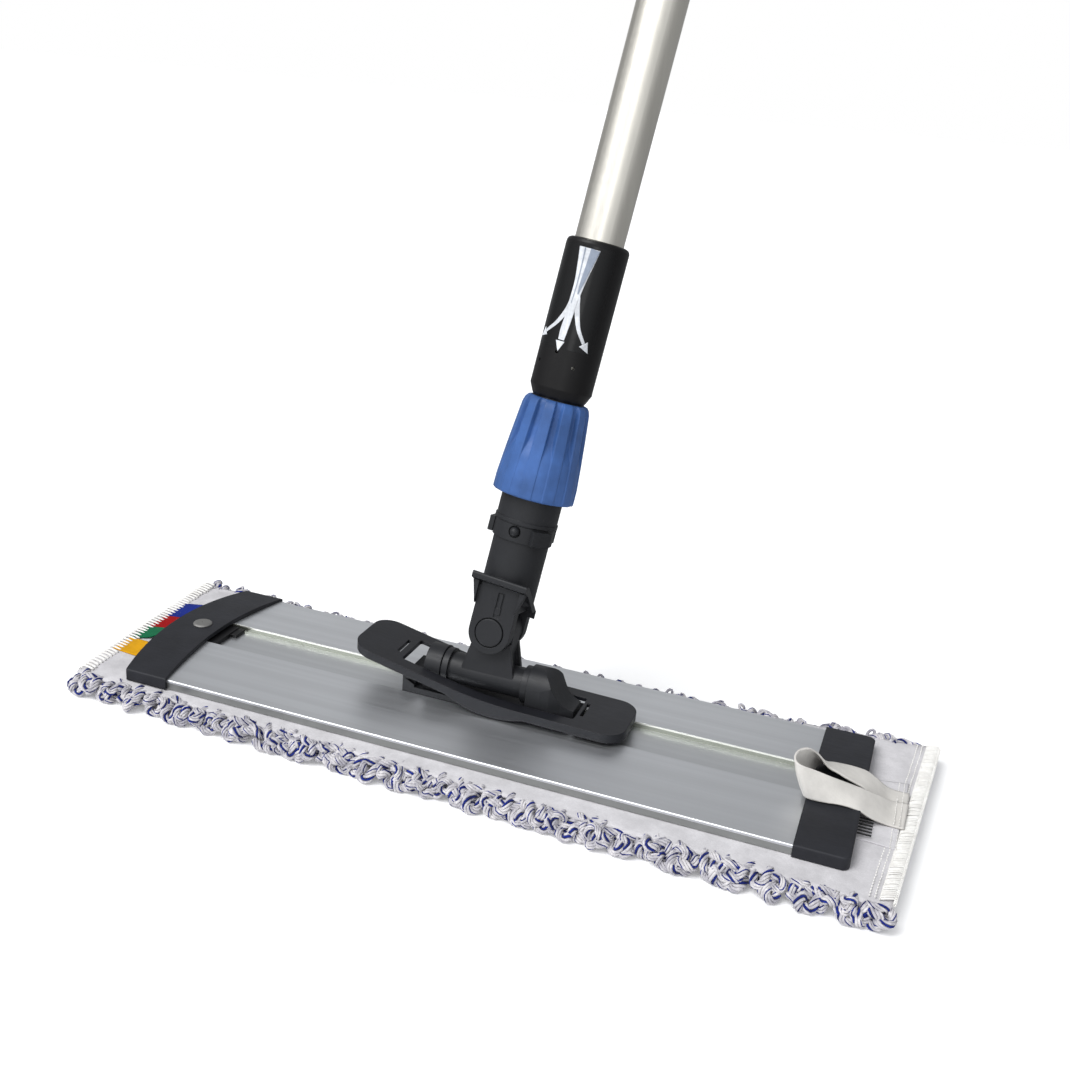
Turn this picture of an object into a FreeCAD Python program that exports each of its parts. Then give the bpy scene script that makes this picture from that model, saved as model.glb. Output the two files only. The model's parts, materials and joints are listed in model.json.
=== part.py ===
"""Flat mop with a two-axis handle joint, modelled as separate pieces.

Millimetres, +Z up. The origin is on the floor under the middle of the head, X runs along the
head and Y towards its rear. The pole leans back and to the right, as the mop stands at rest.
"""
import FreeCAD
import Part
import math
import os

V = FreeCAD.Vector
Rotation = FreeCAD.Rotation
Placement = FreeCAD.Placement

# ---------------------------------------------------------------- driving dimensions
# Head: aluminium profile between two plastic caps
HOLDER_LENGTH = 400.0
PLATE_WIDTH = 121.0
PLATE_END = 186.0            # the profile reaches this far either side, inside the caps
EDGE_Z = 17.0                # height of the profile's outer top edges above the floor
CAMBER = 2.5                 # the flanges rise this much towards the channel
EDGE_DEPTH = 5.3
SHEET = 1.8
CHANNEL_HALF = 14.0
CHANNEL_FLOOR = EDGE_Z - 0.9
CAP_INNER = 173.0            # where the caps' inner edges cross the profile's outer edges
CAP_HALF_WIDTH = 62.2
CAP_SKIRT = 1.4
FIT = 0.15                   # clearance of clipped and pushed-in plastic pieces

# Mop cloth
CLOTH_TOP = EDGE_Z - 5.6
BACKING = 2.0
CLOTH_CORNERS = [(-229, -66), (221, -80), (234, 83), (-236, 76)]
CLOTH_CORNER_R = 9.0
HEM_LEFT = 4.5
HEM_RIGHT = 8.0
TAB_WIDTH = 17.6
TAB_THICK = 0.7
STRAP_THICK = 1.2
LOOP_BOX = (163.0, 213.0, -28.0, -13.0)   # x0, x1, y0, y1 of the standing elastic loop
LOOP_HEIGHT = 18.0

# Foot and rocking pedal plate
PIVOT_Z = EDGE_Z + 17.0      # height of the cross barrel's axis
BARREL_X = (-31.4, 18.6)
BARREL_R = 8.6
COLLAR_R = 10.4
AXLE_R = 2.5
FOOT_X = (-52.0, 46.0)
FOOT_HALF = 13.8
FOOT_TOP = EDGE_Z + 6.0
PEDAL_X = -3.7               # middle of the pedal plate
PEDAL_HALF_LENGTH = 79.5
PEDAL_HALF_WIDTH = 20.6
PEDAL_MIDDLE_Z = EDGE_Z + 11.0
LEFT_SLOPE = math.radians(12.0)
RIGHT_SLOPE = math.radians(-1.2)
PEDAL_DECK = 2.2
PEDAL_SKIRT = 4.8
ROCKER_Z = EDGE_Z + 4.4
ROCKER_PIN_R = 1.5

# Universal joint
LEAN_BACK = 12.72            # degrees, about the cross barrel
LEAN_RIGHT = 6.1             # degrees, about the fork pin
LUG_HEIGHT = 26.9            # cross barrel axis to fork pin axis
FORK_X = -5.3
LUG_R = 11.0
LUG_HALF = 8.8
ARM_INNER = 9.1
ARM_OUTER = 15.0
ARM_R = 11.7
FORK_PIN_R = 4.0

# Pole pieces, measured along the pole from the fork pin
SOCKET_R = 15.25
SOCKET_BORE = 12.6
RING_Z = (51.6, 60.6)
RING_R = 16.4
BUTTON_Z = 57.0
BUTTON_R = 2.7
COUPLER_R = 16.6
COUPLER_Z = (61.0, 79.0)
COLLAR_Z = (75.9, 128.6)
COLLAR_BOTTOM_R = 22.3
COLLAR_TOP_R = 18.2
COLLAR_RIBS = 11
TUBE_R = 13.0
TUBE_WALL = 1.1
TUBE_Z = (66.0, 1240.0)
SLEEVE_Z = (129.1, 212.2)
SLEEVE_R = 16.7
OUTLET_ANGLES = (-45.0, -8.5, 28.0)
OUTLET_Z = (147.2, 153.4, 147.2)
OUTLET_R = 0.9
GRIP_Z = (1120.0, 1240.0)
GRIP_R = 16.0
HANG_HOLE_R = 4.5

NODES = {}


# ---------------------------------------------------------------- helpers
def box(x0, x1, y0, y1, z0, z1):
    return Part.makeBox(x1 - x0, y1 - y0, z1 - z0, V(x0, y0, z0))


def rod(radius, z0, z1):
    return Part.makeCylinder(radius, z1 - z0, V(0, 0, z0))


def ring(outer, inner, z0, z1):
    return rod(outer, z0, z1).cut(rod(inner, z0 - 1, z1 + 1))


def rod_x(radius, x0, x1, y, z):
    return Part.makeCylinder(radius, x1 - x0, V(x0, y, z), V(1, 0, 0))


def rod_y(radius, y0, y1, x, z):
    return Part.makeCylinder(radius, y1 - y0, V(x, y0, z), V(0, 1, 0))


def prism(points, push):
    """A polygon of 3-D points pushed along a vector."""
    wire = Part.makePolygon([V(*p) for p in points] + [V(*points[0])])
    return Part.Face(wire).extrude(V(*push))


def prism_x(yz, x0, x1):
    return prism([(x0, y, z) for y, z in yz], (x1 - x0, 0, 0))


def prism_y(xz, y0, y1):
    return prism([(x, y0, z) for x, z in xz], (0, y1 - y0, 0))


def prism_z(xy, z0, z1):
    return prism([(x, y, z0) for x, y in xy], (0, 0, z1 - z0))


def lathe(rz):
    """A profile of (radius, z) points turned about the Z axis."""
    wire = Part.makePolygon([V(r, 0, z) for r, z in rz] + [V(rz[0][0], 0, rz[0][1])])
    return Part.Face(wire).revolve(V(0, 0, 0), V(0, 0, 1), 360)


def round_edges(shape, radius, wanted):
    """Rounds the edges that the test picks out."""
    edges = [e for e in shape.Edges if wanted(e)]
    return shape.makeFillet(radius, edges) if edges else shape


def is_upright(edge):
    ends = [v.Point for v in edge.Vertexes]
    return len(ends) == 2 and (ends[0] - ends[1]).cross(V(0, 0, 1)).Length < 1e-6


def rounded_outline(corners, radius, z0, z1):
    return round_edges(prism_z(corners, z0, z1), radius, is_upright)


def spring(radius, wire, z0, z1, turns):
    """A helical spring about the Z axis."""
    line = Part.makeHelix((z1 - z0) / turns, z1 - z0, radius)
    line.translate(V(0, 0, z0))
    section = Part.Wire(Part.makeCircle(wire, V(radius, 0, z0), V(0, 1, 0)))
    return Part.Wire(line.Edges).makePipeShell([section], True, True)


KNUCKLE = Placement(V(FORK_X, 0, PIVOT_Z), Rotation(V(1, 0, 0), -LEAN_BACK))
POLE = KNUCKLE.multiply(
    Placement(V(0, 0, LUG_HEIGHT), Rotation(V(0, 1, 0), LEAN_RIGHT)))


def add(name, shape, frame=None):
    """Keeps a piece as a node, moved out of its own frame where it has one."""
    shape = shape.removeSplitter()
    if frame is not None:
        shape.Placement = frame.multiply(shape.Placement)
    NODES[name] = shape


# ---------------------------------------------------------------- head
def plate_section(grow=0.0):
    """Half of the profile's top line, from the outer edge to the channel."""
    half = PLATE_WIDTH / 2 + grow
    return [(half, EDGE_Z + grow), (CHANNEL_HALF - grow, EDGE_Z + CAMBER + grow)]


def plate_extrusion():
    half = PLATE_WIDTH / 2
    (edge_y, edge_z), (wall_y, wall_z) = plate_section()
    right = [
        (0, CHANNEL_FLOOR), (wall_y, CHANNEL_FLOOR), (wall_y, wall_z), (edge_y, edge_z),
        (edge_y, edge_z - EDGE_DEPTH), (half - SHEET, edge_z - EDGE_DEPTH),
        (half - SHEET, edge_z - SHEET), (wall_y + SHEET, wall_z - SHEET),
        (wall_y + SHEET, CHANNEL_FLOOR - SHEET), (0, CHANNEL_FLOOR - SHEET)]
    section = right + [(-y, z) for y, z in reversed(right[1:-1])]
    plate = prism_x(section, -PLATE_END, PLATE_END)
    for y in (-36.0, 36.0):
        plate = plate.fuse(box(-PLATE_END, PLATE_END, y - 0.8, y + 0.8,
                               edge_z - EDGE_DEPTH, edge_z))
    plate = round_edges(plate, 0.8, lambda e: e.BoundBox.XLength > 300
                        and abs(e.BoundBox.ZMin - edge_z) < 0.01 and abs(e.BoundBox.YMin) > 60)
    for x, y in screw_places():
        plate = plate.cut(rod(1.6, CHANNEL_FLOOR - 5, CHANNEL_FLOOR + 1).translated(V(x, y, 0)))
    add("plate_extrusion", plate)


def screw_places():
    return [(x, y) for x in (-40.0, 34.0) for y in (-8.0, 8.0)]


def cap_body(crown, outline):
    """A cap with an arched top over the profile, hollow under it."""
    low = EDGE_Z - EDGE_DEPTH
    side = EDGE_Z + 1.3
    arch = Part.Arc(V(0, CAP_HALF_WIDTH, side), V(0, 0, EDGE_Z + crown),
                    V(0, -CAP_HALF_WIDTH, side)).toShape()
    base = Part.makePolygon([V(0, -CAP_HALF_WIDTH, side), V(0, -CAP_HALF_WIDTH, low),
                             V(0, CAP_HALF_WIDTH, low), V(0, CAP_HALF_WIDTH, side)])
    section = Part.Face(Part.Wire([arch] + base.Edges)).extrude(V(500, 0, 0))
    section.translate(V(-250, 0, 0))
    cap = section.common(outline)
    return round_edges(cap, 1.0, lambda e: e.BoundBox.ZMin > side - 0.05
                       and e.BoundBox.XLength > 15)


def hollow_for_plate(cap, x0, x1):
    (edge_y, edge_z), (wall_y, wall_z) = plate_section(FIT)
    low = EDGE_Z - EDGE_DEPTH - 1
    hollow = [(edge_y, low), (edge_y, edge_z), (wall_y, wall_z), (-wall_y, wall_z),
              (-edge_y, edge_z), (-edge_y, low)]
    return cap.cut(prism_x(hollow, x0, x1))


def right_end_cap():
    outer = HOLDER_LENGTH / 2
    outline = rounded_outline([(CAP_INNER, -70), (outer, -70), (outer, 70), (CAP_INNER, 70)],
                              0.5, 0, 60)
    corner = box(CAP_INNER, outer, -CAP_HALF_WIDTH, CAP_HALF_WIDTH, 0, 60)
    corner = round_edges(corner, 4.0, lambda e: is_upright(e) and e.BoundBox.XMin > outer - 1)
    cap = cap_body(4.6, outline.common(corner))
    cap = hollow_for_plate(cap, CAP_INNER - 1, outer - 2.5)
    mouth = box(outer - 5, outer + 5, -31.6, 31.6, 0, EDGE_Z - 2.2)
    add("right_end_cap", cap.cut(mouth))


def left_outline(grow):
    """Plan of the left cap: both long edges bow outwards, towards the cap's own end."""
    inner = Part.Arc(V(-CAP_INNER + 0.5, -CAP_HALF_WIDTH, 0), V(-178.0, 0, 0),
                     V(-CAP_INNER + 0.5, CAP_HALF_WIDTH, 0)).toShape()
    outer = Part.Arc(V(-198.0 + grow, CAP_HALF_WIDTH, 0), V(-206.6 + grow, 0, 0),
                     V(-198.0 + grow, -CAP_HALF_WIDTH, 0)).toShape()
    top = Part.makeLine(inner.Vertexes[1].Point, outer.Vertexes[0].Point)
    bottom = Part.makeLine(outer.Vertexes[1].Point, inner.Vertexes[0].Point)
    return Part.Face(Part.Wire([inner, top, outer, bottom])).extrude(V(0, 0, 60))


def left_end_cap():
    cap = cap_body(5.2, left_outline(0))
    inside = left_outline(2.5)
    inside.translate(V(3, 0, 0))
    (edge_y, edge_z), (wall_y, wall_z) = plate_section(FIT)
    low = EDGE_Z - EDGE_DEPTH - 1
    hollow = prism_x([(edge_y, low), (edge_y, edge_z), (wall_y, wall_z), (-wall_y, wall_z),
                      (-edge_y, edge_z), (-edge_y, low)], -250, -150)
    cap = cap.cut(hollow.common(inside.fuse(left_outline(2.5))))
    mouth = box(-215, -195, -44, 44, 0, EDGE_Z - 3.4)
    cap = cap.cut(mouth)
    cap = cap.cut(rod(2.6, 0, 60).translated(V(-190.0, 0, 0)))
    add("left_end_cap", cap)


def left_cap_rivet():
    top = EDGE_Z + 5.2
    head = lathe([(0, top + 1.3), (4.4, top + 1.15), (5.2, top + 0.85), (5.5, top + 0.45),
                  (5.5, top + 0.05), (0, top + 0.05)])
    rivet = head.fuse(rod(2.5, EDGE_Z - 1.6, top + 0.5))
    rivet = rivet.fuse(rod(3.6, EDGE_Z - 2.4, EDGE_Z - 1.5))
    rivet = rivet.cut(rod(0.5, top + 0.8, top + 3))
    add("left_cap_rivet", rivet, Placement(V(-190.0, 0, 0), Rotation()))


def clamp_teeth(x_root, x_tip, y0, y1, z0, z1, pitch):
    """A row of blunt teeth along Y."""
    teeth = []
    y = y0
    while y + pitch * 0.6 <= y1:
        teeth.append(box(min(x_root, x_tip), max(x_root, x_tip), y, y + pitch * 0.6, z0, z1))
        y += pitch
    return teeth


def left_clamp_jaw():
    """Slides into the channel under the left cap and grips the coloured tabs."""
    jaw = box(-186.5, -173.0, -12.5, 12.5, EDGE_Z - 0.8, EDGE_Z + 1.6)
    jaw = jaw.fuse(box(-174.0, -169.0, 3.0, 12.5, EDGE_Z - 0.8, EDGE_Z + 1.0))
    jaw = jaw.fuse(box(-197.0, -186.4, -36.0, 36.0, EDGE_Z - 1.5, EDGE_Z + 0.1))
    jaw = jaw.cut(rod(2.6, 0, 60).translated(V(-190.0, 0, 0)))
    for tooth in clamp_teeth(-200.0, -196.5, -36.0, 36.0, EDGE_Z - 3.0, EDGE_Z - 0.2, 4.0):
        jaw = jaw.fuse(tooth)
    add("left_clamp_jaw", jaw)


def right_clamp_comb():
    """Toothed strip in the right cap's mouth that grips the cloth's white band."""
    comb = box(187.0, 200.0, -31.2, 31.2, EDGE_Z - 3.9, EDGE_Z - 2.5)
    for tooth in clamp_teeth(199.5, 207.0, -31.2, -16.0, EDGE_Z - 3.9, EDGE_Z - 3.0, 2.1):
        comb = comb.fuse(tooth)
    add("right_clamp_comb", comb)


# ---------------------------------------------------------------- mop cloth
def cloth():
    outline = CLOTH_CORNERS
    bottom = CLOTH_TOP - BACKING
    add("mop_backing", rounded_outline(outline, CLOTH_CORNER_R, bottom, CLOTH_TOP))
    add("mop_pile", rounded_outline(outline, CLOTH_CORNER_R, 0, bottom - 0.1))
    (lf, rf, rr, lr) = outline
    left = [(lf[0], lf[1] + 12), (lf[0] + HEM_LEFT, lf[1] + 12),
            (lr[0] + HEM_LEFT, lr[1] - 12), (lr[0], lr[1] - 12)]
    right = [(rf[0] - HEM_RIGHT, rf[1] + 12), (rf[0], rf[1] + 12),
             (rr[0], rr[1] - 12), (rr[0] - HEM_RIGHT, rr[1] - 12)]
    add("hem_left", prism_z(left, CLOTH_TOP + 0.05, CLOTH_TOP + 1.2))
    add("hem_right", prism_z(right, CLOTH_TOP + 0.05, CLOTH_TOP + 1.2))


def tabs():
    """Four coloured cloth tabs from the left hem to the clamp jaw under the left cap."""
    top = CLOTH_TOP + 0.05 + TAB_THICK
    rear = 37.0
    for index, colour in enumerate(("blue", "red", "green", "yellow")):
        y1 = rear - index * (TAB_WIDTH + 0.3)
        add(f"tab_{colour}", box(-225.5, -187.5, y1 - TAB_WIDTH, y1, CLOTH_TOP + 0.05, top))


def band_and_loop():
    """White band gripped by the right comb, and the elastic loop that pulls it out again."""
    add("loop_anchor_band", box(190.0, 216.0, -31.2, 29.8, CLOTH_TOP + 0.05, CLOTH_TOP + 0.85))
    cap_top = EDGE_Z + 4.9
    top = cap_top + LOOP_HEIGHT
    x0, x1, y0, y1 = LOOP_BOX
    wall = STRAP_THICK
    outer = rounded_outline([(x0, y0), (x1, y0), (x1, y1), (x0, y1)], 7.4, cap_top, top)
    inner = rounded_outline([(x0 + wall, y0 + wall), (x1 - wall, y0 + wall),
                             (x1 - wall, y1 - wall), (x0 + wall, y1 - wall)], 6.2,
                            cap_top - 1, top + 1)
    low = CLOTH_TOP + 1.3
    tail = box(x1 - 3.0, x1, y0 + 3.0, y1 - 3.0, low, cap_top + 4)
    tail = tail.cut(inner).fuse(box(x1 - 3.0, x1 + 6.0, y0 + 3.0, 12.0, low, low + wall))
    add("pull_loop", outer.cut(inner).fuse(tail))


# ---------------------------------------------------------------- foot and pedal plate
def tombstone(half, radius, x0, x1, z_low):
    """A cheek: a round top about the barrel axis on straight sides."""
    cheek = rod_x(radius, x0, x1, 0, PIVOT_Z)
    return cheek.fuse(box(x0, x1, -half, half, z_low, PIVOT_Z))


def foot_base():
    x0, x1 = FOOT_X
    base = box(x0, x1, -FOOT_HALF, FOOT_HALF, CHANNEL_FLOOR + 0.05, FOOT_TOP)
    base = base.fuse(box(x0, x0 + 7.0, -FOOT_HALF, FOOT_HALF, FOOT_TOP, EDGE_Z + 12.0))
    recess = prism_y([(x0 + 1.5, EDGE_Z + 10.5), (x0 + 8.0, EDGE_Z + 10.5),
                      (x0 + 8.0, EDGE_Z + 7.0)], -FOOT_HALF - 1, -FOOT_HALF + 2.0)
    base = base.cut(recess)
    left = tombstone(11.0, 11.2, BARREL_X[0] - 9.6, BARREL_X[0] - 0.3, FOOT_TOP)
    base = base.fuse(left)
    base = base.fuse(right_hump())
    saddle = rod_x(COLLAR_R + 0.5, BARREL_X[0] - 0.3, BARREL_X[1] + 0.3, 0, PIVOT_Z)
    base = base.cut(saddle)
    base = base.cut(rod_x(AXLE_R + 0.03, BARREL_X[0] - 20, BARREL_X[1] + 7.0, 0, PIVOT_Z))
    base = base.cut(rod_x(4.03, BARREL_X[0] - 20, BARREL_X[0] - 7.5, 0, PIVOT_Z))
    for side in (-1, 1):
        ends = sorted((side * (FOOT_HALF - 5.0), side * (FOOT_HALF + 1)))
        base = base.cut(rod_y(ROCKER_PIN_R + 0.03, ends[0], ends[1], PEDAL_X, ROCKER_Z))
    for x, y in screw_places():
        base = base.cut(rod(1.3, CHANNEL_FLOOR - 1, CHANNEL_FLOOR + 5.5).translated(V(x, y, 0)))
    add("foot_base", base)


def right_hump():
    """The right cheek, domed, with a tail that sweeps down and narrows towards the slot."""
    x0 = BARREL_X[1] + 0.3
    x1 = x0 + 26.4
    crest = PIVOT_Z + 11.8
    low = FOOT_TOP - 1
    sweep = Part.BSplineCurve()
    sweep.interpolate([V(x0 + 4.0, 0, crest), V(x0 + 9.5, 0, crest - 1.3), V(x0 + 13.6, 0, crest - 5.6),
                       V(x0 + 17.2, 0, crest - 12.0), V(x0 + 21.6, 0, crest - 16.2),
                       V(x1, 0, crest - 18.0)])
    foot = Part.makePolygon([V(x1, 0, crest - 18.0), V(x1, 0, low), V(x0, 0, low), V(x0, 0, crest),
                             V(x0 + 4.0, 0, crest)])
    side = Part.Face(Part.Wire([sweep.toShape()] + foot.Edges)).extrude(V(0, 60, 0))
    side.translate(V(0, -30, 0))
    flank = [(x0 + 8.0, 11.4), (x0 + 13.0, 10.6), (x0 + 19.0, 8.2), (x1, 6.6)]
    plan = prism_z([(x0, -11.4)] + [(x, -y) for x, y in flank] + flank[::-1] + [(x0, 11.4)], 0, 80)
    return tombstone(11.4, 11.8, x0, x1, low).common(side).common(plan)


def foot_screws():
    screws = []
    for x, y in screw_places():
        head = lathe([(0, CHANNEL_FLOOR - SHEET - 1.5), (2.9, CHANNEL_FLOOR - SHEET - 1.5),
                      (2.9, CHANNEL_FLOOR - SHEET - 0.02), (1.28, CHANNEL_FLOOR - SHEET - 0.02),
                      (1.28, CHANNEL_FLOOR + 5.0), (0, CHANNEL_FLOOR + 5.0)])
        screws.append(head.translated(V(x, y, 0)))
    NODES["foot_screws"] = Part.makeCompound(screws)


def barrel_axle():
    add("barrel_axle", rod_x(AXLE_R, BARREL_X[0] - 7.4, BARREL_X[1] + 6.8, 0, PIVOT_Z))
    plug = rod_x(4.0, BARREL_X[0] - 9.6, BARREL_X[0] - 7.6, 0, PIVOT_Z)
    add("axle_end_plug", plug)


def rocker_pins():
    pins = []
    for side in (-1, 1):
        ends = sorted((side * (FOOT_HALF - 4.9), side * (PEDAL_HALF_WIDTH - 1.6)))
        pins.append(rod_y(ROCKER_PIN_R, ends[0], ends[1], PEDAL_X, ROCKER_Z))
    NODES["rocker_pins"] = Part.makeCompound(pins)


def pedal_line(x, drop=0.0):
    """Height of the pedal plate's top line at x."""
    away = x - PEDAL_X
    slope = math.tan(LEFT_SLOPE) if away < 0 else math.tan(-RIGHT_SLOPE)
    return PEDAL_MIDDLE_Z - away * slope - drop


def pedal_profile(drop, belly):
    """Side face of the pedal plate: two wings that meet in a wide arc, and a belly below."""
    ends = (PEDAL_X - PEDAL_HALF_LENGTH * math.cos(LEFT_SLOPE), PEDAL_X + PEDAL_HALF_LENGTH)
    bend = (PEDAL_X - 21.0, PEDAL_X + 21.0)
    top = [V(x, 0, pedal_line(x)) for x in (ends[0], bend[0], bend[1], ends[1])]
    middle = V(PEDAL_X, 0, PEDAL_MIDDLE_Z + 1.0)
    low = [V(x, 0, pedal_line(x, drop)) for x in (ends[1], PEDAL_X + 25.0)]
    low_left = [V(x, 0, pedal_line(x, drop)) for x in (PEDAL_X - 20.0, ends[0])]
    belly_low = V(PEDAL_X + 7.0, 0, EDGE_Z + 3.0) if belly else V(PEDAL_X, 0, low[1].z + 1.2)
    edges = [Part.makeLine(top[0], top[1]), Part.Arc(top[1], middle, top[2]).toShape(),
             Part.makeLine(top[2], top[3]), Part.makeLine(top[3], low[0]),
             Part.makeLine(low[0], low[1]), Part.Arc(low[1], belly_low, low_left[0]).toShape(),
             Part.makeLine(low_left[0], low_left[1]), Part.makeLine(low_left[1], top[0])]
    return Part.Face(Part.Wire(edges))


def pedal_plan(inset, z0, z1):
    x0 = PEDAL_X - PEDAL_HALF_LENGTH * math.cos(LEFT_SLOPE) + inset
    x1 = PEDAL_X + PEDAL_HALF_LENGTH - inset
    half = PEDAL_HALF_WIDTH - inset
    return rounded_outline([(x0, -half), (x1, -half), (x1, half), (x0, half)],
                           11.5 - inset, z0, z1)


def pedal_rocker():
    span = V(0, 2 * PEDAL_HALF_WIDTH, 0)
    start = V(0, -PEDAL_HALF_WIDTH, 0)
    solid = pedal_profile(PEDAL_SKIRT, True).translated(start).extrude(span)
    solid = solid.common(pedal_plan(0.0, 0, 80))
    below = pedal_profile(PEDAL_SKIRT + 20, False).translated(start).extrude(span)
    below = below.translated(V(0, 0, -PEDAL_DECK)).common(pedal_plan(2.2, 0, 80))
    pedal = solid.cut(below)
    opening = rounded_outline([(-53.4, -12.8), (47.2, -12.8), (47.2, 12.8), (-53.4, 12.8)],
                              1.5, 0, 80)
    pedal = pedal.cut(opening)
    for x in (PEDAL_X - 54.3, PEDAL_X + 53.7):
        pedal = pedal.cut(box(x - 0.9, x + 0.9, -7.5, 7.5, 0, 80))
    for side in (-1, 1):
        y0, y1 = sorted((side * 14.4, side * (PEDAL_HALF_WIDTH - 1.0)))
        boss = rod_y(3.4, y0, y1, PEDAL_X, ROCKER_Z + 1.6)
        boss = boss.fuse(box(PEDAL_X - 3.4, PEDAL_X + 3.4, y0, y1, ROCKER_Z + 1.6,
                             PEDAL_MIDDLE_Z - 1.5))
        pedal = pedal.fuse(boss.common(box(-99, 99, -99, 99, EDGE_Z + 2.9, 90)))
    for side in (-1, 1):
        y0, y1 = sorted((side * 10.0, side * (PEDAL_HALF_WIDTH - 1.5)))
        pedal = pedal.cut(rod_y(ROCKER_PIN_R + 0.05, y0, y1, PEDAL_X, ROCKER_Z))
    add("pedal_rocker", pedal)


# ---------------------------------------------------------------- universal joint
def cross_barrel():
    """Barrel between the cheeks, with the upright lug that the fork straddles."""
    x0, x1 = BARREL_X[0] - FORK_X, BARREL_X[1] - FORK_X
    barrel = rod_x(BARREL_R, x0, x1, 0, 0)
    for a, b in ((x0, x0 + 3.6), (x1 - 3.6, x1)):
        barrel = barrel.fuse(rod_x(COLLAR_R, a, b, 0, 0))
    lug = rod_y(LUG_R, -LUG_HALF, LUG_HALF, 0, LUG_HEIGHT)
    web = prism_y([(-LUG_R, LUG_HEIGHT), (LUG_R, LUG_HEIGHT), (LUG_R - 0.5, 14.0), (12.5, 0),
                   (-12.5, 0), (-LUG_R + 0.5, 14.0)], -5.6, 5.6)
    ribs = []
    for side in (-1, 1):
        y0, y1 = sorted((side * 5.6, side * 8.2))
        ribs.append(prism_y([(-LUG_R + 0.3, LUG_HEIGHT - 6), (LUG_R - 0.3, LUG_HEIGHT - 6),
                             (15.0, 4.0), (14.0, 0), (-14.0, 0), (-15.0, 4.0)], y0, y1))
    body = barrel.fuse(lug).fuse(web)
    for rib in ribs:
        body = body.fuse(rib)
    body = body.cut(rod_x(AXLE_R + 0.05, x0 - 1, x1 + 1, 0, 0))
    body = body.cut(rod_y(FORK_PIN_R + 0.05, -20, 20, 0, LUG_HEIGHT))
    add("cross_barrel", body, KNUCKLE)


def fork_arm(side):
    y0, y1 = sorted((side * ARM_INNER, side * ARM_OUTER))
    arm = rod_y(ARM_R, y0, y1, 0, 0)
    return arm.fuse(box(-ARM_R, ARM_R, y0, y1, 0, 24.0))


def visor():
    """Tilted flange round the foot of the socket, highest at its front lip."""
    slab = prism([(-15.7, -20.2, 27.9), (-15.7, -20.2, 31.7), (-15.7, -15.4, 30.4),
                  (-15.7, 9.5, 13.2), (-15.7, 9.5, 8.8), (-15.7, -14.0, 25.4)], (31.4, 0, 0))
    slab = round_edges(slab, 1.2, lambda e: e.BoundBox.XLength > 30
                       and e.BoundBox.YMax < -15)
    return slab


def fork_socket():
    body = rod(SOCKET_R, 18.0, 60.0)
    neck = box(-ARM_R, ARM_R, -ARM_OUTER, ARM_OUTER, 13.6, 26.0)
    body = body.fuse(neck.common(rod(18.5, 0, 40)))
    for side in (-1, 1):
        body = body.fuse(fork_arm(side))
    body = body.fuse(visor())
    for side in (-1, 1):
        gusset = prism_y([(side * 15.2, 26.5), (side * ARM_R, 26.5), (side * ARM_R, 14.0),
                          (side * 12.6, 17.5)], -17.5, -13.0)
        body = body.fuse(gusset)
    body = body.cut(rod(SOCKET_BORE, 30.0, 61.0))
    body = body.cut(box(-30, 30, -ARM_INNER, ARM_INNER, -30, 13.6))
    body = body.cut(rod_y(FORK_PIN_R + 0.02, -30, 30, 0, 0))
    body = body.cut(rod_y(8.2, -ARM_OUTER - 1, -ARM_OUTER + 1.6, 0, 0))
    body = body.cut(rod_y(8.2, ARM_OUTER - 1.6, ARM_OUTER + 1, 0, 0))
    body = body.cut(box(-0.1, 3.5, -ARM_OUTER - 1, -ARM_OUTER + 0.5, 9.0, 23.0))
    body = body.cut(rod_y(BUTTON_R + 0.08, -30, 0, 0, BUTTON_Z))
    add("fork_socket", body, POLE)


def fork_pin():
    pin = rod_y(FORK_PIN_R, -ARM_OUTER + 1.5, ARM_OUTER - 1.5, 0, 0)
    add("fork_pin", pin, POLE)
    for name, side in (("fork_pin_cap_front", -1), ("fork_pin_cap_rear", 1)):
        y0, y1 = sorted((side * (ARM_OUTER - 1.45), side * (ARM_OUTER + 0.5)))
        cap = rod_y(7.7, y0, y1, 0, 0)
        cap = round_edges(cap, 0.6, lambda e: abs(e.BoundBox.YMax) > ARM_OUTER + 0.4
                          and e.BoundBox.YLength < 0.1 and abs(e.BoundBox.YMin) > ARM_OUTER)
        add(name, cap, POLE)
    latch = box(0.1, 3.3, -ARM_OUTER - 0.25, -ARM_OUTER + 0.45, 11.0, 14.5)
    latch = latch.fuse(box(0.8, 2.8, -ARM_OUTER - 0.05, -ARM_OUTER + 0.45, 14.5, 22.5))
    add("fork_pin_latch", latch, POLE)


def bayonet_ring():
    """Band round the socket's mouth, with the lugs that a hand turns it by."""
    z0, z1 = RING_Z
    band = ring(RING_R, SOCKET_R + 0.1, z0, z1)
    for angle in (180.0, 320.0, 60.0):
        lug = box(RING_R - 0.6, RING_R + 2.3, -5.4, 5.4, z0 + 0.2, z1 - 0.6)
        lug = lug.rotated(V(0, 0, 0), V(0, 0, 1), angle)
        band = band.fuse(lug)
    band = band.cut(rod(SOCKET_R + 0.1, z0 - 5, z1 + 5))
    band = band.cut(rod_y(BUTTON_R + 0.6, -30, 0, 0, BUTTON_Z))
    add("bayonet_ring", band, POLE)


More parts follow.
